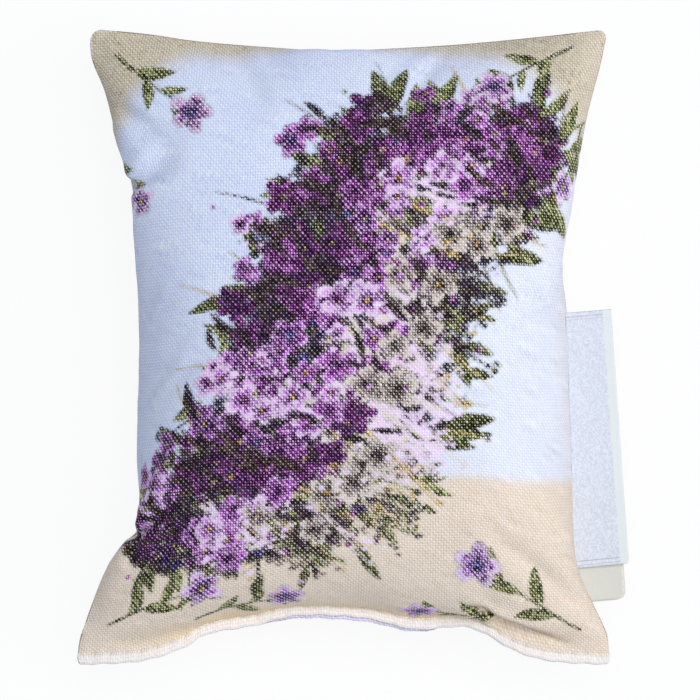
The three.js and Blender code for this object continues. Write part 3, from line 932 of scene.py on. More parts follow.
def lay_foliage(picture, chance):
    """Leaves that stand out round the garland, and thin stalks of dry grass."""
    for t, at in scattered(chance, 300, 1.0):
        way = angle_of(at - garland_centre(t)) + chance.uniform(-0.6, 0.6)
        reach = chance.uniform(5, 12)
        tip = at + reach * toward(way)
        inks = ((INKS["olive"] * 0.6, INKS["olive"] * 1.2), (INKS["olive"], INKS["moss"]))[chance.integers(2)]
        leaf(picture, at, tip, reach * chance.uniform(0.11, 0.17), chance.uniform(-0.8, 0.8), inks)
    for t, at in scattered(chance, 130, 0.95):
        way = angle_of(at - garland_centre(t)) + chance.uniform(-0.5, 0.5)
        reach = chance.uniform(6, 14)
        points = blade(at, way, reach, chance.uniform(-2.5, 2.5))
        width = chance.uniform(0.2, 0.36)
        stem(picture, points, width, INKS[("bark", "straw", "taupe", "moss")[chance.integers(4)]])


def lay_bed(picture, chance):
    """The dark bed of the garland, broken up by dabs."""
    x, y = picture.x[None, :], picture.y[:, None]
    share = garland_share(x, y) + 0.10 * mottled(x, y, 7, 8) + 0.05 * mottled(x, y, 3, 9)
    mix = smoothstep(-0.6, 0.6, mottled(x, y, 8, 10))[..., None]
    bed = INKS["bark"] * mix + INKS["night"] * (1 - mix)
    picture.lay(slice(None), smoothstep(0.90, 0.74, share) * 0.96, bed)
    for _, at in scattered(chance, 700, 0.9):
        ink = INKS[("bark", "violet", "olive", "night", "plum", "indigo")[chance.integers(6)]]
        dab(picture, at, chance.uniform(0.4, 1.3), chance.uniform(0.6, 1.5), ink, 0.8)


def lay_grass(picture, chance):
    """A sheaf of dry grass and seed heads that hangs out of the garland's lower right side."""
    names = ("night", "bark", "bark", "moss", "taupe", "straw", "taupe", "cream", "cream", "mist")
    for _ in range(420):
        t = chance.uniform(0.10, 0.80)
        at = garland_centre(t) + chance.uniform(-4, 6) * GRASS_SIDE + chance.uniform(-3, 3, 2)
        way = angle_of(GRASS_SIDE) + chance.uniform(-0.55, 0.55)
        reach = chance.uniform(0.5, 1.02) * garland_width(t)
        points = blade(at, way, reach, chance.uniform(-3, 3))
        ink = graded(names, mood(points[2], GRASS_PATCHES), chance.uniform(-2.4, 2.4))
        stem(picture, points, chance.uniform(0.25, 0.5), ink)
        for _ in range(3):
            dab(picture, points[-1] + chance.uniform(-1.2, 1.2, 2), chance.uniform(0.3, 0.7), 1.3, ink)


# The flowers' inks from throat to rim, and how many of each are tried, from the darkest to the palest.
FLOWER_GROUPS = (
    (("night", "violet", "plum"), 170), (("violet", "plum", "purple"), 190),
    (("plum", "purple", "orchid"), 180), (("indigo", "purple", "lilac"), 120),
    (("violet", "orchid", "lilac"), 190), (("plum", "lilac", "mist"), 210),
)


def lay_flowers(picture, chance):
    """Flowers, the darker ones first. They keep to light and dark patches, and to the upper left."""
    for order, (names, count) in enumerate(FLOWER_GROUPS):
        for t, at in scattered(chance, count, 0.98):
            at = at - 3.5 * GRASS_SIDE
            if abs(order / 5 - mood(at, FLOWER_PATCHES)) > chance.uniform(0.12, 0.42):
                continue
            if (at - garland_centre(t)) @ GRASS_SIDE > chance.uniform(0.05, 0.5) * garland_width(t):
                continue
            radius = chance.uniform(1.6, 4.4) * (0.75 + 0.25 * math.sin(math.pi * min(max(t, 0), 1)))
            inks = [INKS[name] for name in names]
            blossom(picture, at, radius, chance.uniform(0, 6.3), inks, chance.uniform(0, 9))
            if order > 1:
                continue
            # Dabs of leaf shade between the dark flowers keep the garland deep.
            dab(picture, at + chance.uniform(-4, 4, 2), chance.uniform(0.5, 1.2), 1.0, INKS["night"], 0.7)


def lay_shade(picture, chance):
    """Dark stalks and leaf shade between the flowers, mostly where those are dark."""
    for _, at in scattered(chance, 360, 0.95):
        at = at - 3.0 * GRASS_SIDE
        if mood(at, FLOWER_PATCHES) > chance.uniform(-0.1, 0.7):
            continue
        way = angle_of(-GRASS_SIDE) + chance.uniform(-0.7, 0.7)
        reach = chance.uniform(3, 9)
        tip = at + reach * toward(way)
        inks = ((INKS["night"], INKS["bark"]), (INKS["bark"], INKS["bark"] * 1.4))[chance.integers(2)]
        leaf(picture, at, tip, reach * chance.uniform(0.08, 0.15), chance.uniform(-0.8, 0.8), inks)


def lay_cream_flowers(picture, chance):
    """Cream flowers where the grass comes out."""
    inks = (INKS["bark"], INKS["taupe"] * 1.3, INKS["cream"])
    for t in np.linspace(0.14, 0.86, 15):
        out = chance.uniform(0.25, 0.75) * garland_width(t)
        at = garland_centre(t) + out * GRASS_SIDE + chance.uniform(-3, 3, 2)
        blossom(picture, at, chance.uniform(3.0, 5.0), chance.uniform(0, 6.3), inks, chance.uniform(0, 9))


def lay_florets(picture, chance):
    """Tiny florets all over the garland, and buds that scatter off its edges."""
    for t, at in scattered(chance, 430, 1.05):
        names = ("night", "bark", "violet", "plum", "purple", "orchid", "lilac", "mist")
        if (at - garland_centre(t)) @ GRASS_SIDE > 0.3 * garland_width(t):
            names = ("night", "bark", "moss", "bark", "straw", "taupe", "cream", "mist")
        ink = graded(names, mood(at, FLOWER_PATCHES), chance.uniform(-2.5, 2.5))
        dab(picture, at, chance.uniform(0.3, 0.8), chance.uniform(0.7, 1.4), ink)
    for _, at in scattered(chance, 90, 1.35):
        ink = INKS[("purple", "lilac", "violet", "moss", "orchid")[chance.integers(5)]]
        dab(picture, at, chance.uniform(0.3, 0.75), chance.uniform(0.7, 1.4), ink)


# The sprigs in the corners of the front: where each starts, its heading and its length.
CORNER_SPRIGS = (
    ((6, 129), -0.75, 21), ((3, 110), -1.15, 14), ((99, 131), 3.6, 19), ((103, 114), 4.3, 14),
    ((101, 9), 2.5, 25), ((88, 7), 2.9, 19), ((6, 10), 0.55, 20), ((24, 8), 0.25, 18),
)

# The darkest and the palest that a print gets.
PRINT_RANGE = (0.012, 0.92)


def painted_front():
    """The front's picture: pale blue cloth, beige in the corners and along the bottom, a garland of small
    flowers over dark foliage and dry grass, and sprigs in the corners."""
    chance = np.random.default_rng(20)
    picture = Picture(CUT_WIDTH, CUT_HEIGHT + LIP)
    lay_ground(picture)
    for lay in (lay_foliage, lay_bed, lay_grass, lay_flowers, lay_shade, lay_cream_flowers, lay_florets):
        lay(picture, chance)
    for root, heading, size in CORNER_SPRIGS:
        sprig(picture, root, heading, size, chance)
    x, y = picture.x[None, :], picture.y[:, None]
    picture.colour *= (1 + 0.05 * mottled(x, y, 2.2, 5) * mottled(x, y, 9, 6))[..., None]
    picture.colour = np.clip(picture.colour, *PRINT_RANGE)
    return picture


def painted_back():
    """The back's picture: pale lilac cloth scattered with small flowers and sprigs on a jittered lattice."""
    chance = np.random.default_rng(7)
    picture = Picture(CUT_WIDTH, CUT_HEIGHT + LIP)
    x, y = picture.x[None, :], picture.y[:, None]
    picture.colour[:] = CLOTH_LILAC * (1 + 0.03 * mottled(x, y, 20, 12))[..., None]
    for row in range(10):
        for column in range(8):
            at = np.array((column * 15 + 7.5 * (row % 2), row * 14.5 + 3)) + chance.uniform(-2.2, 2.2, 2)
            if (row + column) % 3 == 0:
                sprig(picture, at, chance.uniform(0, 6.3), chance.uniform(9, 12), chance)
            else:
                names = (("violet", "purple", "lilac"), ("plum", "lilac", "mist"))[column % 2]
                inks = [INKS[name] for name in names]
                for side in (-1, 1):
                    way = chance.uniform(0, 6.3)
                    tip = at + side * chance.uniform(4.5, 6) * toward(way)
                    leaf(picture, at, tip, 0.9, 0.3, (INKS["olive"], INKS["moss"]))
                radius = chance.uniform(2.4, 3.6)
                blossom(picture, at, radius, chance.uniform(0, 6.3), inks, chance.uniform(0, 9))
    picture.colour = np.clip(picture.colour, *PRINT_RANGE)
    return picture


# The two panels

def cut_places():
    """Shares of the cut (u, v) at every vertex of a finished panel's body. The two upper corners, and the
    ears' tips at the bottom, are rounded: with a and b running from 0 to 1 over the last EAR_RADIUS to a
    corner, a becomes a * sqrt(1 - b^2 / 2) and b likewise."""
    u, v = np.meshgrid(np.linspace(0, 1, PANEL_CELLS[0] + 1), np.linspace(0, 1, PANEL_CELLS[1] + 1))
    x, y = (u - 0.5) * CUT_WIDTH, (v - 0.5) * CUT_HEIGHT
    a = np.clip((np.abs(x) - CUT_WIDTH / 2) / EAR_RADIUS + 1, 0, 1)
    b = np.clip((y - CUT_HEIGHT / 2) / EAR_RADIUS + 1, 0, 1)
    x = x - np.sign(x) * EAR_RADIUS * (a - a * np.sqrt(1 - b * b / 2))
    y = y - EAR_RADIUS * (b - b * np.sqrt(1 - a * a / 2))
    return x / CUT_WIDTH + 0.5, y / CUT_HEIGHT + 0.5


# Creases, from above: where each starts on the seam and where it dies out, its depth and its half width.
CREASES = (
    ((-42.0, -36.8), (-33.0, -30.5), 1.9, 1.3),
    ((-41.8, -37.5), (-45.0, -45.5), 1.2, 1.0),
    ((-43.2, 32.0), (-32.0, 39.0), 1.6, 2.2),
    ((-44.5, 46.0), (-31.0, 38.5), 1.5, 3.2),
    ((28.5, -54.2), (49.5, -64.6), 3.2, 1.5),
    ((25.0, -54.5), (31.0, -44.0), 0.6, 2.4),
)


def creased(x, y, creases):
    """Depth of the creases at points seen from above: each is a groove depth * exp(-(d / width)^2) between
    two low ridges, where d is the distance from its line, deepest near the seam and faded out at its end."""
    total = 0 * x
    for start, end, depth, width in creases:
        start, end = np.array(start), np.array(end)
        length = np.linalg.norm(end - start)
        along = (end - start) / length
        t = ((x - start[0]) * along[0] + (y - start[1]) * along[1]) / length
        d = (y - start[1]) * along[0] - (x - start[0]) * along[1]
        spread = width * (0.55 + 0.9 * np.clip(t, 0, 1))
        run = smoothstep(-0.35, 0.08, t) * smoothstep(1.0, 0.25, t)
        ridge = 0.2 * np.exp(-(((np.abs(d) - 2 * spread) / spread) ** 2))
        total = total + depth * run * (np.exp(-((d / spread) ** 2)) - ridge)
    return total


def seam_distance(u, v):
    """In millimetres: how far the nearest seam is, the place along it, and how far the closing seam is."""
    left, right = u * CUT_WIDTH, (1 - u) * CUT_WIDTH
    low, high = v * CUT_HEIGHT, (1 - v) * CUT_HEIGHT
    near = np.minimum(np.minimum(left, right), np.minimum(low, high))
    side = np.minimum(left, right) < np.minimum(low, high)
    return near, np.where(side, v * CUT_HEIGHT, u * CUT_WIDTH), low


STITCH_PITCH = 3.0


def puckers(u, v, seed):
    """Small gathers along the seams, dying out inwards, and the hollows that the closing stitches pull."""
    near, along, low = seam_distance(u, v)
    chance = np.random.default_rng(seed)
    waves = 0
    for length in (4.3, 6.1, 9.7, 15.0):
        waves = waves + np.sin(2 * np.pi * along / length + chance.uniform(0, 6.3)) * length / 15
    gathers = 0.10 * waves * np.exp(-near / 4.5) * smoothstep(0, 1.2, near)
    hole = 0.5 + 0.5 * np.cos(2 * np.pi * u * CUT_WIDTH / STITCH_PITCH)
    pulled = 0.22 * hole**2 * np.exp(-((low / 1.3) ** 2))
    return gathers - pulled


def lip_rows(stitch_line, reach, side):
    """The lip beyond the stitch line, from its edge inwards: a soft roll whose height over the seam plane is
    full * sqrt(1 - q^2), q running from 0 at its crest to 1 at its edge, and easing down to the stitches."""
    t = np.linspace(1, 0, LIP_CELLS, endpoint=False)[:, None]
    crest = 0.45
    full = 0.85
    low = 0.42
    rise = low + (full - low) * np.sin(0.5 * np.pi * np.clip(t / crest, 0, 1))
    fall = full * np.sqrt(np.clip(1 - (np.clip(t - crest, 0, 1) / (1 - crest)) ** 2, 0, 1))
    height = np.where(t < crest, rise, fall)
    x = stitch_line[None, :, 0] + 0 * t
    y = stitch_line[None, :, 1] - reach[None] * np.sin(0.5 * np.pi * t) ** 0.9
    # Both ends are rounded: the lip's edge stops short of the ear's tip by r (1 - sqrt(1 - t^2)).
    rounding = 1.7
    short = rounding * (1 - np.sqrt(1 - (0.98 * t) ** 2))
    middle = (x[:, :1] + x[:, -1:]) / 2
    pull = 1 - short / np.abs(x[:, :1] - middle) * np.abs((x - middle) / (x[:, :1] - middle)) ** 24
    x = middle + (x - middle) * pull
    return np.dstack([x, y, stitch_line[None, :, 2] + side * height]), t


# Round the ears: how far in the two panels meet, and the room that each keeps from their middle. Along the
# closing seam: how high the cloth starts over its turned layers, and how soon it comes down. Inside: the
# least between a panel and its inner side, the least between that side and the middle, and the colour.
MEETING_REACH = 1.2
EAR_ROOM = 0.8
TURNED_RISE = 0.42
TURNED_REACH = 1.6
INNER_GAP = 0.15
LEAST_GAP = 0.02
BARE_CLOTH = CLOTH_WHITE * 0.9


def panel(name, drape, other, side, picture, material, node, creases, seed, overhang):
    """One panel: the blown-up cloth read at its own places, thickened along the closing seam, gathered,
    creased and given its lip, then closed as a shell. side is 1 for the front and -1 for the back, and other
    is the other panel's cloth, which it meets half way round the ears, by exp(-(d / MEETING_REACH)^2) of the
    distance d to the rim."""
    u, v = cut_places()
    body = sampled(drape, u, v)
    columns = np.linspace(0, CUT_WIDTH, PANEL_CELLS[0] + 1)[None, :]
    rows = np.linspace(0, CUT_HEIGHT, PANEL_CELLS[1] + 1)[:, None]
    rim = np.minimum(np.minimum(columns, CUT_WIDTH - columns), CUT_HEIGHT - rows)
    ear = np.hypot(np.minimum(columns, CUT_WIDTH - columns), CUT_HEIGHT - rows)
    meet = np.exp(-((rim / MEETING_REACH) ** 2)) * smoothstep(2.5 * EAR_RADIUS, 1.2 * EAR_RADIUS, ear)
    middle = (body + sampled(other, u, v)) / 2
    body = body + meet[..., None] * (middle - body)
    middle = middle[..., 2]
    near, _, low = seam_distance(u, v)
    # Two layers are turned in under each panel's lip, so its cloth starts above the seam plane there.
    body[..., 2] += side * TURNED_RISE * np.exp(-low / TURNED_REACH)
    out = normals_of(body) * side
    folds = creased(body[..., 0], body[..., 1], creases) * smoothstep(0, 1.6, near)
    work = puckers(u, v, seed) - folds
    lumps = 0.012 * mottled(u * CUT_WIDTH, v * CUT_HEIGHT, 5.0, seed + 1)
    lumps = lumps + 0.06 * mottled(u * CUT_WIDTH, v * CUT_HEIGHT, 19.0, seed + 2)
    work = work + lumps * smoothstep(0.5, 7, near)
    if side < 0:
        work = work * smoothstep(0.3, 3.0, body[..., 2])
    body = body + out * work[..., None]
    # However thin the ears are, the two panels lie on each other there and don't cross: a distance a from the
    # middle that is less than the room r becomes (a^2 + r^2) / 2r.
    apart = np.maximum(side * (body[..., 2] - middle), 0)
    room = EAR_ROOM * smoothstep(0, 1.5, np.minimum(rim, rows)) + 1e-6
    apart = np.where(apart < room, (apart**2 + room**2) / (2 * room), apart)
    body[..., 2] = middle + side * apart

    stitch_line = sampled(drape, u[:1], v[:1] * 0)[0]
    reach = LIP * (1 + 0.05 * np.sin(stitch_line[:, 0] * 1.3)) + overhang * np.clip(
        1 - (stitch_line[:, 0] / OVERHANG_HALF_SPAN) ** 2, 0, 1) ** 0.5
    lip, t = lip_rows(stitch_line, reach, side)
    puff = 0.5 - 0.5 * np.cos(2 * np.pi * u[:1] * CUT_WIDTH / STITCH_PITCH)
    lip[..., 2] += side * 0.10 * puff * np.sin(np.pi * np.clip(t, 0, 1))
    grid = np.concatenate([lip, body], 0)

    map_x = np.concatenate([np.broadcast_to(u[:1], lip.shape[:2]), u], 0) * CUT_WIDTH
    map_y = np.concatenate([np.broadcast_to(-t * LIP, lip.shape[:2]), v * CUT_HEIGHT], 0) + LIP
    # The inner side: one thickness below the cloth, thinning to the seams, deeper where the cloth is creased,
    # and flat on the seam plane in the lip.
    thickness = CLOTH * (0.1 + 0.9 * smoothstep(0, 1.5, near)) + 0.5 * np.maximum(folds, 0)
    thickness = np.concatenate([np.full(lip.shape[:2], CLOTH), thickness])
    inward = grid - np.concatenate([normals_of(lip) * side, out]) * thickness[..., None]
    flat = np.concatenate([np.ones(lip.shape[:2]), smoothstep(2.4, 0.8, low)])[..., None]
    level = np.concatenate([lip[..., :2], body[..., :2]])
    seam_z = stitch_line[None, :, 2] + 0 * flat[..., 0]
    level = np.dstack([level, seam_z + side * 0.04])
    inward = inward * (1 - flat) + level * flat
    # It stays under the cloth also where a crease takes that below the seam.
    sunk = np.concatenate([0 * lip[..., 2], 0.4 * np.maximum(folds, 0)])
    between = np.concatenate([lip[..., 2] * 0 + stitch_line[None, :, 2], middle])
    room = np.minimum(side * (inward[..., 2] - between), side * (grid[..., 2] - between) - INNER_GAP - sunk)
    inward[..., 2] = between + side * np.maximum(room, LEAST_GAP)
    points, faces = shell(grid, inward, side < 0)
    inner = (slice(None, None, INNER_STEP), slice(None, None, INNER_STEP))
    uv = np.stack([map_x, map_y], -1)
    uv = np.vstack([uv.reshape(-1, 2), uv[inner].reshape(-1, 2)])
    colour = picture.read(map_x, map_y)
    # The cloth is turned in at the lip, so that its print goes on over the edge; the rest is bare inside.
    inside = colour[inner].copy()
    inside[LIP_CELLS // INNER_STEP + 1:] = BARE_CLOTH
    colour = np.vstack([colour.reshape(-1, 3), inside.reshape(-1, 3)])
    made = make(name, points, faces, material, "pillow", uv, colour)
    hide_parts(node)
    return grid


# Stage

# The camera, in metres: its height over the seam's plane, the width of that plane in view, and its place
# along y. Its film is in millimetres.
CAMERA_HEIGHT = 0.75
VIEW_WIDTH = 0.140
VIEW_MIDDLE = -0.0006
FILM_WIDTH = 36.0

# The white that the camera sees, the table's own colour, and the white's share of the table in a direct view.
WHITE = (1, 1, 1, 1)
TABLE = (0.86, 0.86, 0.87, 1)
TABLE_GLOW = 0.9

# The sky's colour and strength, and each lamp's place, size, power and colour.
SKY = (0.75, 0.85, 1.0, 1)
SKY_STRENGTH = 0.34
LAMPS = {
    "window": ((0.95, -0.15, 0.85), 0.9, 6.2, (1.0, 0.97, 0.93)),
    "bounce": ((0.16, 0.22, 1.3), 0.9, 11.1, (0.98, 0.985, 1.0)),
}


def direct_rays(tree):
    """A socket of 1 for rays from the camera, a mirror or clear glass, and 0 for the rest."""
    path = add_node(tree, "LightPath")
    total = path.outputs["Is Camera Ray"]
    for name in ("Is Glossy Ray", "Is Transmission Ray"):
        total = add_node(tree, "Math", total, path.outputs[name], operation="MAXIMUM").outputs[0]
    return total


def stage():
    """Camera straight above, white table and room, a broad lamp from the right, a bounce, a cool sky."""
    scene = bpy.context.scene
    scene.view_settings.view_transform = "Standard"

    lens = bpy.data.cameras.new("camera")
    lens.sensor_width = FILM_WIDTH
    lens.lens = FILM_WIDTH * CAMERA_HEIGHT / VIEW_WIDTH
    lens.clip_end = 10
    camera = bpy.data.objects.new("camera", lens)
    camera.location = (0, VIEW_MIDDLE, SEAM_HEIGHT * MM + CAMERA_HEIGHT)
    scene.collection.objects.link(camera)
    scene.camera = camera

    world = bpy.data.worlds.new("room")
    world.use_nodes = True
    tree = world.node_tree
    sky = tree.nodes["Background"]
    sky.inputs[0].default_value = SKY
    sky.inputs[1].default_value = SKY_STRENGTH
    white = add_node(tree, "Background", WHITE)
    pick = add_node(tree, "MixShader", direct_rays(tree), sky.outputs[0], white.outputs[0])
    tree.links.new(pick.outputs[0], tree.nodes["World Output"].inputs[0])
    scene.world = world

    for name, (place, size, power, colour) in LAMPS.items():
        light = bpy.data.lights.new(name, "AREA")
        light.shape = "RECTANGLE"
        light.size, light.size_y = size, size
        light.energy = power
        light.color = colour
        obj = bpy.data.objects.new(name, light)
        obj.location = place
        way = -obj.location
        obj.rotation_euler = way.to_track_quat("-Z", "Y").to_euler()
        scene.collection.objects.link(obj)

    table = bpy.data.meshes.new("table")
    table.from_pydata([(-2, -2, 0), (2, -2, 0), (2, 2, 0), (-2, 2, 0)], [], [(0, 1, 2, 3)])
    top = bpy.data.objects.new("table", table)
    scene.collection.objects.link(top)
    material = bpy.data.materials.new("table white")
    material.use_nodes = True
    tree = material.node_tree
    lit = tree.nodes["Principled BSDF"]
    lit.inputs["Base Color"].default_value = TABLE
    lit.inputs["Roughness"].default_value = 0.9
    lit.inputs["Specular IOR Level"].default_value = 0.0
    glow = add_node(tree, "Emission", WHITE)
    share = add_node(tree, "Math", direct_rays(tree), TABLE_GLOW, operation="MULTIPLY")
    mixed = add_node(tree, "MixShader", share.outputs[0], lit.outputs[0], glow.outputs[0])
    # Seen from below, the table lets the back panel show.
    below = add_node(tree, "NewGeometry").outputs["Backfacing"]
    clear = add_node(tree, "BsdfTransparent")
    through = add_node(tree, "MixShader", below, mixed.outputs[0], clear.outputs[0])
    tree.links.new(through.outputs[0], tree.nodes["Material Output"].inputs[0])
    table.materials.append(material)


# Fill, threads and labels

# The fill's cells, how deep it lies under the cloth, the depth of its grain, and the share of cut round it.
FILL_CELLS = (120, 150)
FILL_DEPTH = 2.2
GRAIN_DEPTH = 0.6
FILL_MARGIN = 0.06


def bud_grain(x, y, seed, cell=2.4):
    """Rounded grains: each cell of a lattice holds one at a jittered place, and the height is
    sqrt(1 - (d / reach)^2) of the nearest one."""
    i, j = np.floor(x / cell), np.floor(y / cell)
    best = np.full(x.shape, 9.0)
    for a in (-1, 0, 1):
        for b in (-1, 0, 1):
            h = np.sin((i + a) * 127.1 + (j + b) * 311.7 + seed) * 43758.5453
            k = np.sin((i + a) * 269.5 + (j + b) * 183.3 + seed) * 43758.5453
            px = (i + a + 0.5 + 0.7 * (h - np.floor(h) - 0.5)) * cell
            py = (j + b + 0.5 + 0.7 * (k - np.floor(k) - 0.5)) * cell
            best = np.minimum(best, np.hypot(x - px, (y - py) * 0.7) / cell)
    return np.sqrt(np.clip(1 - (best / 0.75) ** 2, 0, 1))


def fill(front, back, material):
    """The buds: both panels' forms drawn in under the cloth, with a grain all over, closed round the rim."""
    u, v = np.meshgrid(*(np.linspace(FILL_MARGIN, 1 - FILL_MARGIN, cells + 1) for cells in FILL_CELLS))
    sides = []
    for grid, side in ((front, 1), (back, -1)):
        form = sampled(grid, u, v)
        out = normals_of(form) * side
        grain = bud_grain(u * CUT_WIDTH, v * CUT_HEIGHT, 3.0 + side)
        depth = FILL_DEPTH + GRAIN_DEPTH * (1 - grain)
        sides.append(form - out * depth[..., None])
    over = np.arange(u.size).reshape(u.shape)
    under = over + u.size
    top, low = ring_of(over), ring_of(under)
    wall = np.stack([np.roll(top, -1), top, low, np.roll(low, -1)], 1)
    faces = np.vstack([quads(over), quads(under, True), wall]).tolist()
    made = make("dried_bud_fill", np.vstack([s.reshape(-1, 3) for s in sides]), faces, material, "pillow")
    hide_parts("lavender_fill")


def thread_piece(name, line, radius, sides, material, node):
    """A sewing thread along a line, which rides on the pillow and replaces a CAD node."""
    along = unit(np.gradient(line[:, :2], axis=0))
    across = np.stack([-along[:, 1], along[:, 0], np.zeros(len(line))], 1)
    points, faces, uv = tube(line, across, radius, sides)
    made = make(name, points, faces, material, "pillow", uv)
    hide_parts(node)


# The topstitch: its thread, how high its middle lies over the cloth, how deep it dips at each hole, how far
# from the ears it ends, and the steps along it.
THREAD_RADIUS = 0.2
THREAD_LIFT = 0.16
THREAD_DIP = 0.75
STITCH_MARGIN = 3.0
STITCH_STEPS = 760


def closing_stitches(name, grid, side, material, node):
    """The closing topstitch on one side: a thread that lies along the panel's stitch line for most of each
    stitch and dips into the cloth between stitches. Its middle is THREAD_LIFT - THREAD_DIP * |cos(pi s)|^8
    over the cloth, s counting the stitches."""
    row = grid[LIP_CELLS]
    run = run_along(row)
    steps = np.linspace(STITCH_MARGIN, run[-1] - STITCH_MARGIN, STITCH_STEPS)
    line = np.stack([np.interp(steps, run, part) for part in row.T], 1)
    share = np.interp(steps, run, np.linspace(0, CUT_WIDTH, len(run))) / STITCH_PITCH
    dip = np.abs(np.cos(np.pi * share)) ** 8
    line[:, 2] += side * (THREAD_LIFT - THREAD_DIP * dip)
    thread_piece(name, line, THREAD_RADIUS, 8, material, node)


# The turned seam: its inset from the panels' rim, its thread, its stitches, how high each thread lies off the
# seam's middle, how far it waves there, where it starts as a share of the height, and the steps along it.
SEAM_INSET = 1.5
SEAM_THREAD_RADIUS = 0.12
SEAM_STITCH = 2.5
SEAM_LIFT = 0.13
SEAM_WAVE = 0.1
SEAM_START = 0.05
SEAM_STEPS = 900


def seam_stitches(name, front, back, side, material, node):
    """One thread of the turned seam round the left, top and right edges, just inside the panels: it lies
    SEAM_LIFT + SEAM_WAVE * cos(2 pi s) off their middle, s counting the stitches."""
    inset_u, inset_v = SEAM_INSET / CUT_WIDTH, SEAM_INSET / CUT_HEIGHT
    low, high = SEAM_START, 1 - 4 * inset_v
    place = np.vstack([
        np.stack([np.full(240, inset_u), np.linspace(low, high, 240)], 1),
        np.stack([np.linspace(4 * inset_u, 1 - 4 * inset_u, 200), np.full(200, 1 - inset_v)], 1),
        np.stack([np.full(240, 1 - inset_u), np.linspace(high, low, 240)], 1),
    ])
    path = (sampled(front, place[:, 0], place[:, 1]) + sampled(back, place[:, 0], place[:, 1])) / 2
    path = evenly(path, SEAM_STEPS)
    run = run_along(path)
    path[:, 2] += side * (SEAM_LIFT + SEAM_WAVE * np.cos(2 * np.pi * run / SEAM_STITCH))
    thread_piece(name, path, SEAM_THREAD_RADIUS, 6, material, node)


# A label: the ribbon's thickness, the gap in its fold, the stations along it, the steps over its flat and
# round its fold, how far it is tucked into the seam, and how far it waves.
RIBBON = 0.25
FOLD_GAP = 0.15
LABEL_STATIONS = 160
FLAT_STEPS = 26
FOLD_STEPS = 14
LABEL_TUCK = 0.4
LABEL_WAVE = 0.22

# Each label's corners from above: its upper inner, upper outer, lower outer and lower inner one. Then the
# radius of its lower outer corner.
WOVEN_CORNERS = ((43.6, 6.8), (52.2, 7.6), (55.8, -43.2), (45.4, -44.2))
WOVEN_CORNER_RADIUS = 0.3
CONTENT_CORNERS = ((44.2, -6.2), (52.6, -5.5), (55.2, -50.4), (46.2, -51.0))
CONTENT_CORNER_RADIUS = 1.6

# The woven label's field, from and to a distance from the fold, and its lines: place, width, strength.
WOVEN_FIELD = (1.6, 14.0)
WOVEN_LINES = ((0.9, 0.14, 0.5), (1.5, 0.1, 0.3), (49.6, 0.14, 0.6), (50.4, 0.12, 0.45))


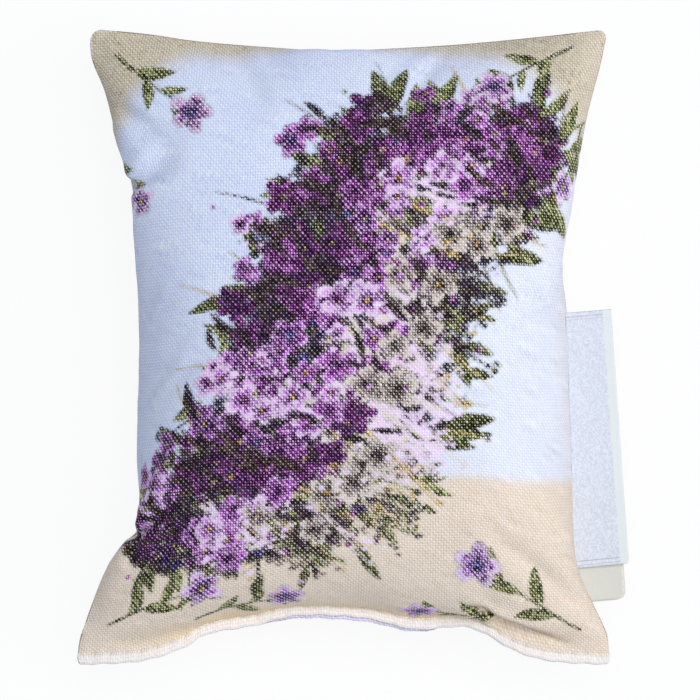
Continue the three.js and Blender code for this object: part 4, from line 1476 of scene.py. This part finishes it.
def label(name, corners, corner_radius, material, node):
    """A ribbon folded in two, at the height of its CAD node. Each station's section goes round both layers:
    out along the top, round the fold, back along the bottom, then the same way inside. The layers part a
    little towards the fold, and the free edge waves."""
    low, high = cad_corners(node)
    height = (low[2] + high[2]) / 2
    upper_in, upper_out, lower_out, lower_in = (np.array(c, float) for c in corners)
    s = np.linspace(0, 1, LABEL_STATIONS + 1)[:, None]
    outer = upper_out + (lower_out - upper_out) * s
    inner = upper_in + (lower_in - upper_in) * s
    seam = outline(*PANEL_CELLS)[1]
    inner[:, 0] = np.interp(inner[:, 1], seam[:, 1], seam[:, 0]) - LABEL_TUCK
    length = np.linalg.norm(lower_out - upper_out)
    left = np.clip(corner_radius - (1 - s) * length, 0, corner_radius)
    outward = unit(outer - inner)
    width = np.linalg.norm(outer - inner, axis=1, keepdims=True)
    reach = width - (corner_radius - np.sqrt(corner_radius**2 - left**2))
    half = RIBBON + FOLD_GAP / 2
    slit = FOLD_GAP / 2

    def around(radius):
        """A U: out at +radius, round the fold, back at -radius."""
        q = np.linspace(0, 1, FLAT_STEPS)
        turn = np.linspace(0.5 * np.pi, -0.5 * np.pi, FOLD_STEPS)[1:-1]
        bend = reach - half
        out = np.concatenate([bend * q, bend + radius * np.cos(turn) + 0 * bend, bend * q[::-1]], 1)
        level = np.full(FLAT_STEPS, radius)
        rise = np.concatenate([level, radius * np.sin(turn), -level])
        return out, np.broadcast_to(rise, out.shape)

    out_far, rise_far = around(half)
    out_near, rise_near = around(slit)
    out = np.concatenate([out_far, out_near[:, ::-1]], 1)
    rise = np.concatenate([rise_far, rise_near[:, ::-1]], 1)
    spread = out / np.maximum(reach, 1e-6)
    # With p from 0 at the seam to 1 at the fold, the layers part by 1 + 0.55 p^2 (0.6 + 0.4 sin(9 s + 1))
    # times their gap, and wave by LABEL_WAVE p sin(7 s length / 51 + 0.6).
    puff = 1 + 0.55 * np.clip(spread, 0, 1) ** 2 * (0.6 + 0.4 * np.sin(9 * s + 1))
    wave = LABEL_WAVE * np.clip(spread, 0, 1) * np.sin(7.0 * s * length / 51 + 0.6)
    x = inner[:, :1] + outward[:, :1] * out
    y = inner[:, 1:] + outward[:, 1:] * out
    z = height + rise * puff + wave
    ring = x.shape[1]
    index = np.arange(x.size).reshape(x.shape)
    index = np.concatenate([index, index[:, :1]], 1)
    count = ring // 2

    def end_cells(row):
        """The cells between the outer and the inner U at one end of the ribbon, as four corners each."""
        far, near = row[:count], row[ring - 1:ring - 1 - count:-1]
        return np.stack([far[:-1], far[1:], near[1:], near[:-1]], 1)

    faces = np.vstack([quads(index), end_cells(index[0]), end_cells(index[-1])[:, [0, 3, 2, 1]]]).tolist()
    u = np.broadcast_to(s * length, x.shape)
    v = reach - out
    points = np.stack([x, y, z], -1).reshape(-1, 3)
    made = make(name, points, faces, material, None, np.stack([u, v], -1).reshape(-1, 2))
    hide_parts(node)
    way = np.append(outward[0], 0)
    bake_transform(made)


# Putting it together

# The seeds of each panel's gathers, how many of the creases the back shares, and the thread's colour.
FRONT_SEED = 11
BACK_SEED = 31
BACK_CREASES = 4
THREAD_COLOUR = (0.86, 0.82, 0.78)

stage()

front_drape, back_drape = fitted(*inflated(*DRAPE_CELLS))

front_cotton = printed_cloth("printed cotton, front")
back_cotton = printed_cloth("printed cotton, back")
thread = sewing_thread("sewing thread", THREAD_COLOUR)

front_grid = panel(
    "front_cloth", front_drape, back_drape, 1, painted_front(), front_cotton,
    "front_panel", CREASES, FRONT_SEED, 0.0)
back_grid = panel(
    "back_cloth", back_drape, front_drape, -1, painted_back(), back_cotton,
    "back_panel", CREASES[:BACK_CREASES], BACK_SEED, BACK_OVERHANG)

fill(front_drape, back_drape, dried_buds("dried buds"))
closing_stitches("closing_topstitch", front_grid, 1, thread, "closing_needle_thread")
closing_stitches("closing_understitch", back_grid, -1, thread, "closing_bobbin_thread")
seam_stitches("side_seam_needle_stitches", front_drape, back_drape, 1, thread, "seam_needle_thread")
seam_stitches("side_seam_bobbin_stitches", front_drape, back_drape, -1, thread, "seam_bobbin_thread")

label(
    "woven_ribbon_label", WOVEN_CORNERS, WOVEN_CORNER_RADIUS,
    ribbon_cloth("woven ribbon", (0.68, 0.71, 0.79), (0.85, 0.885, 0.885), WOVEN_FIELD, WOVEN_LINES),
    "woven_label")
label(
    "content_ribbon_label", CONTENT_CORNERS, CONTENT_CORNER_RADIUS,
    ribbon_cloth("content ribbon", (0.75, 0.73, 0.66), (0.77, 0.75, 0.68), (0.0, 0.8), ()),
    "content_label")
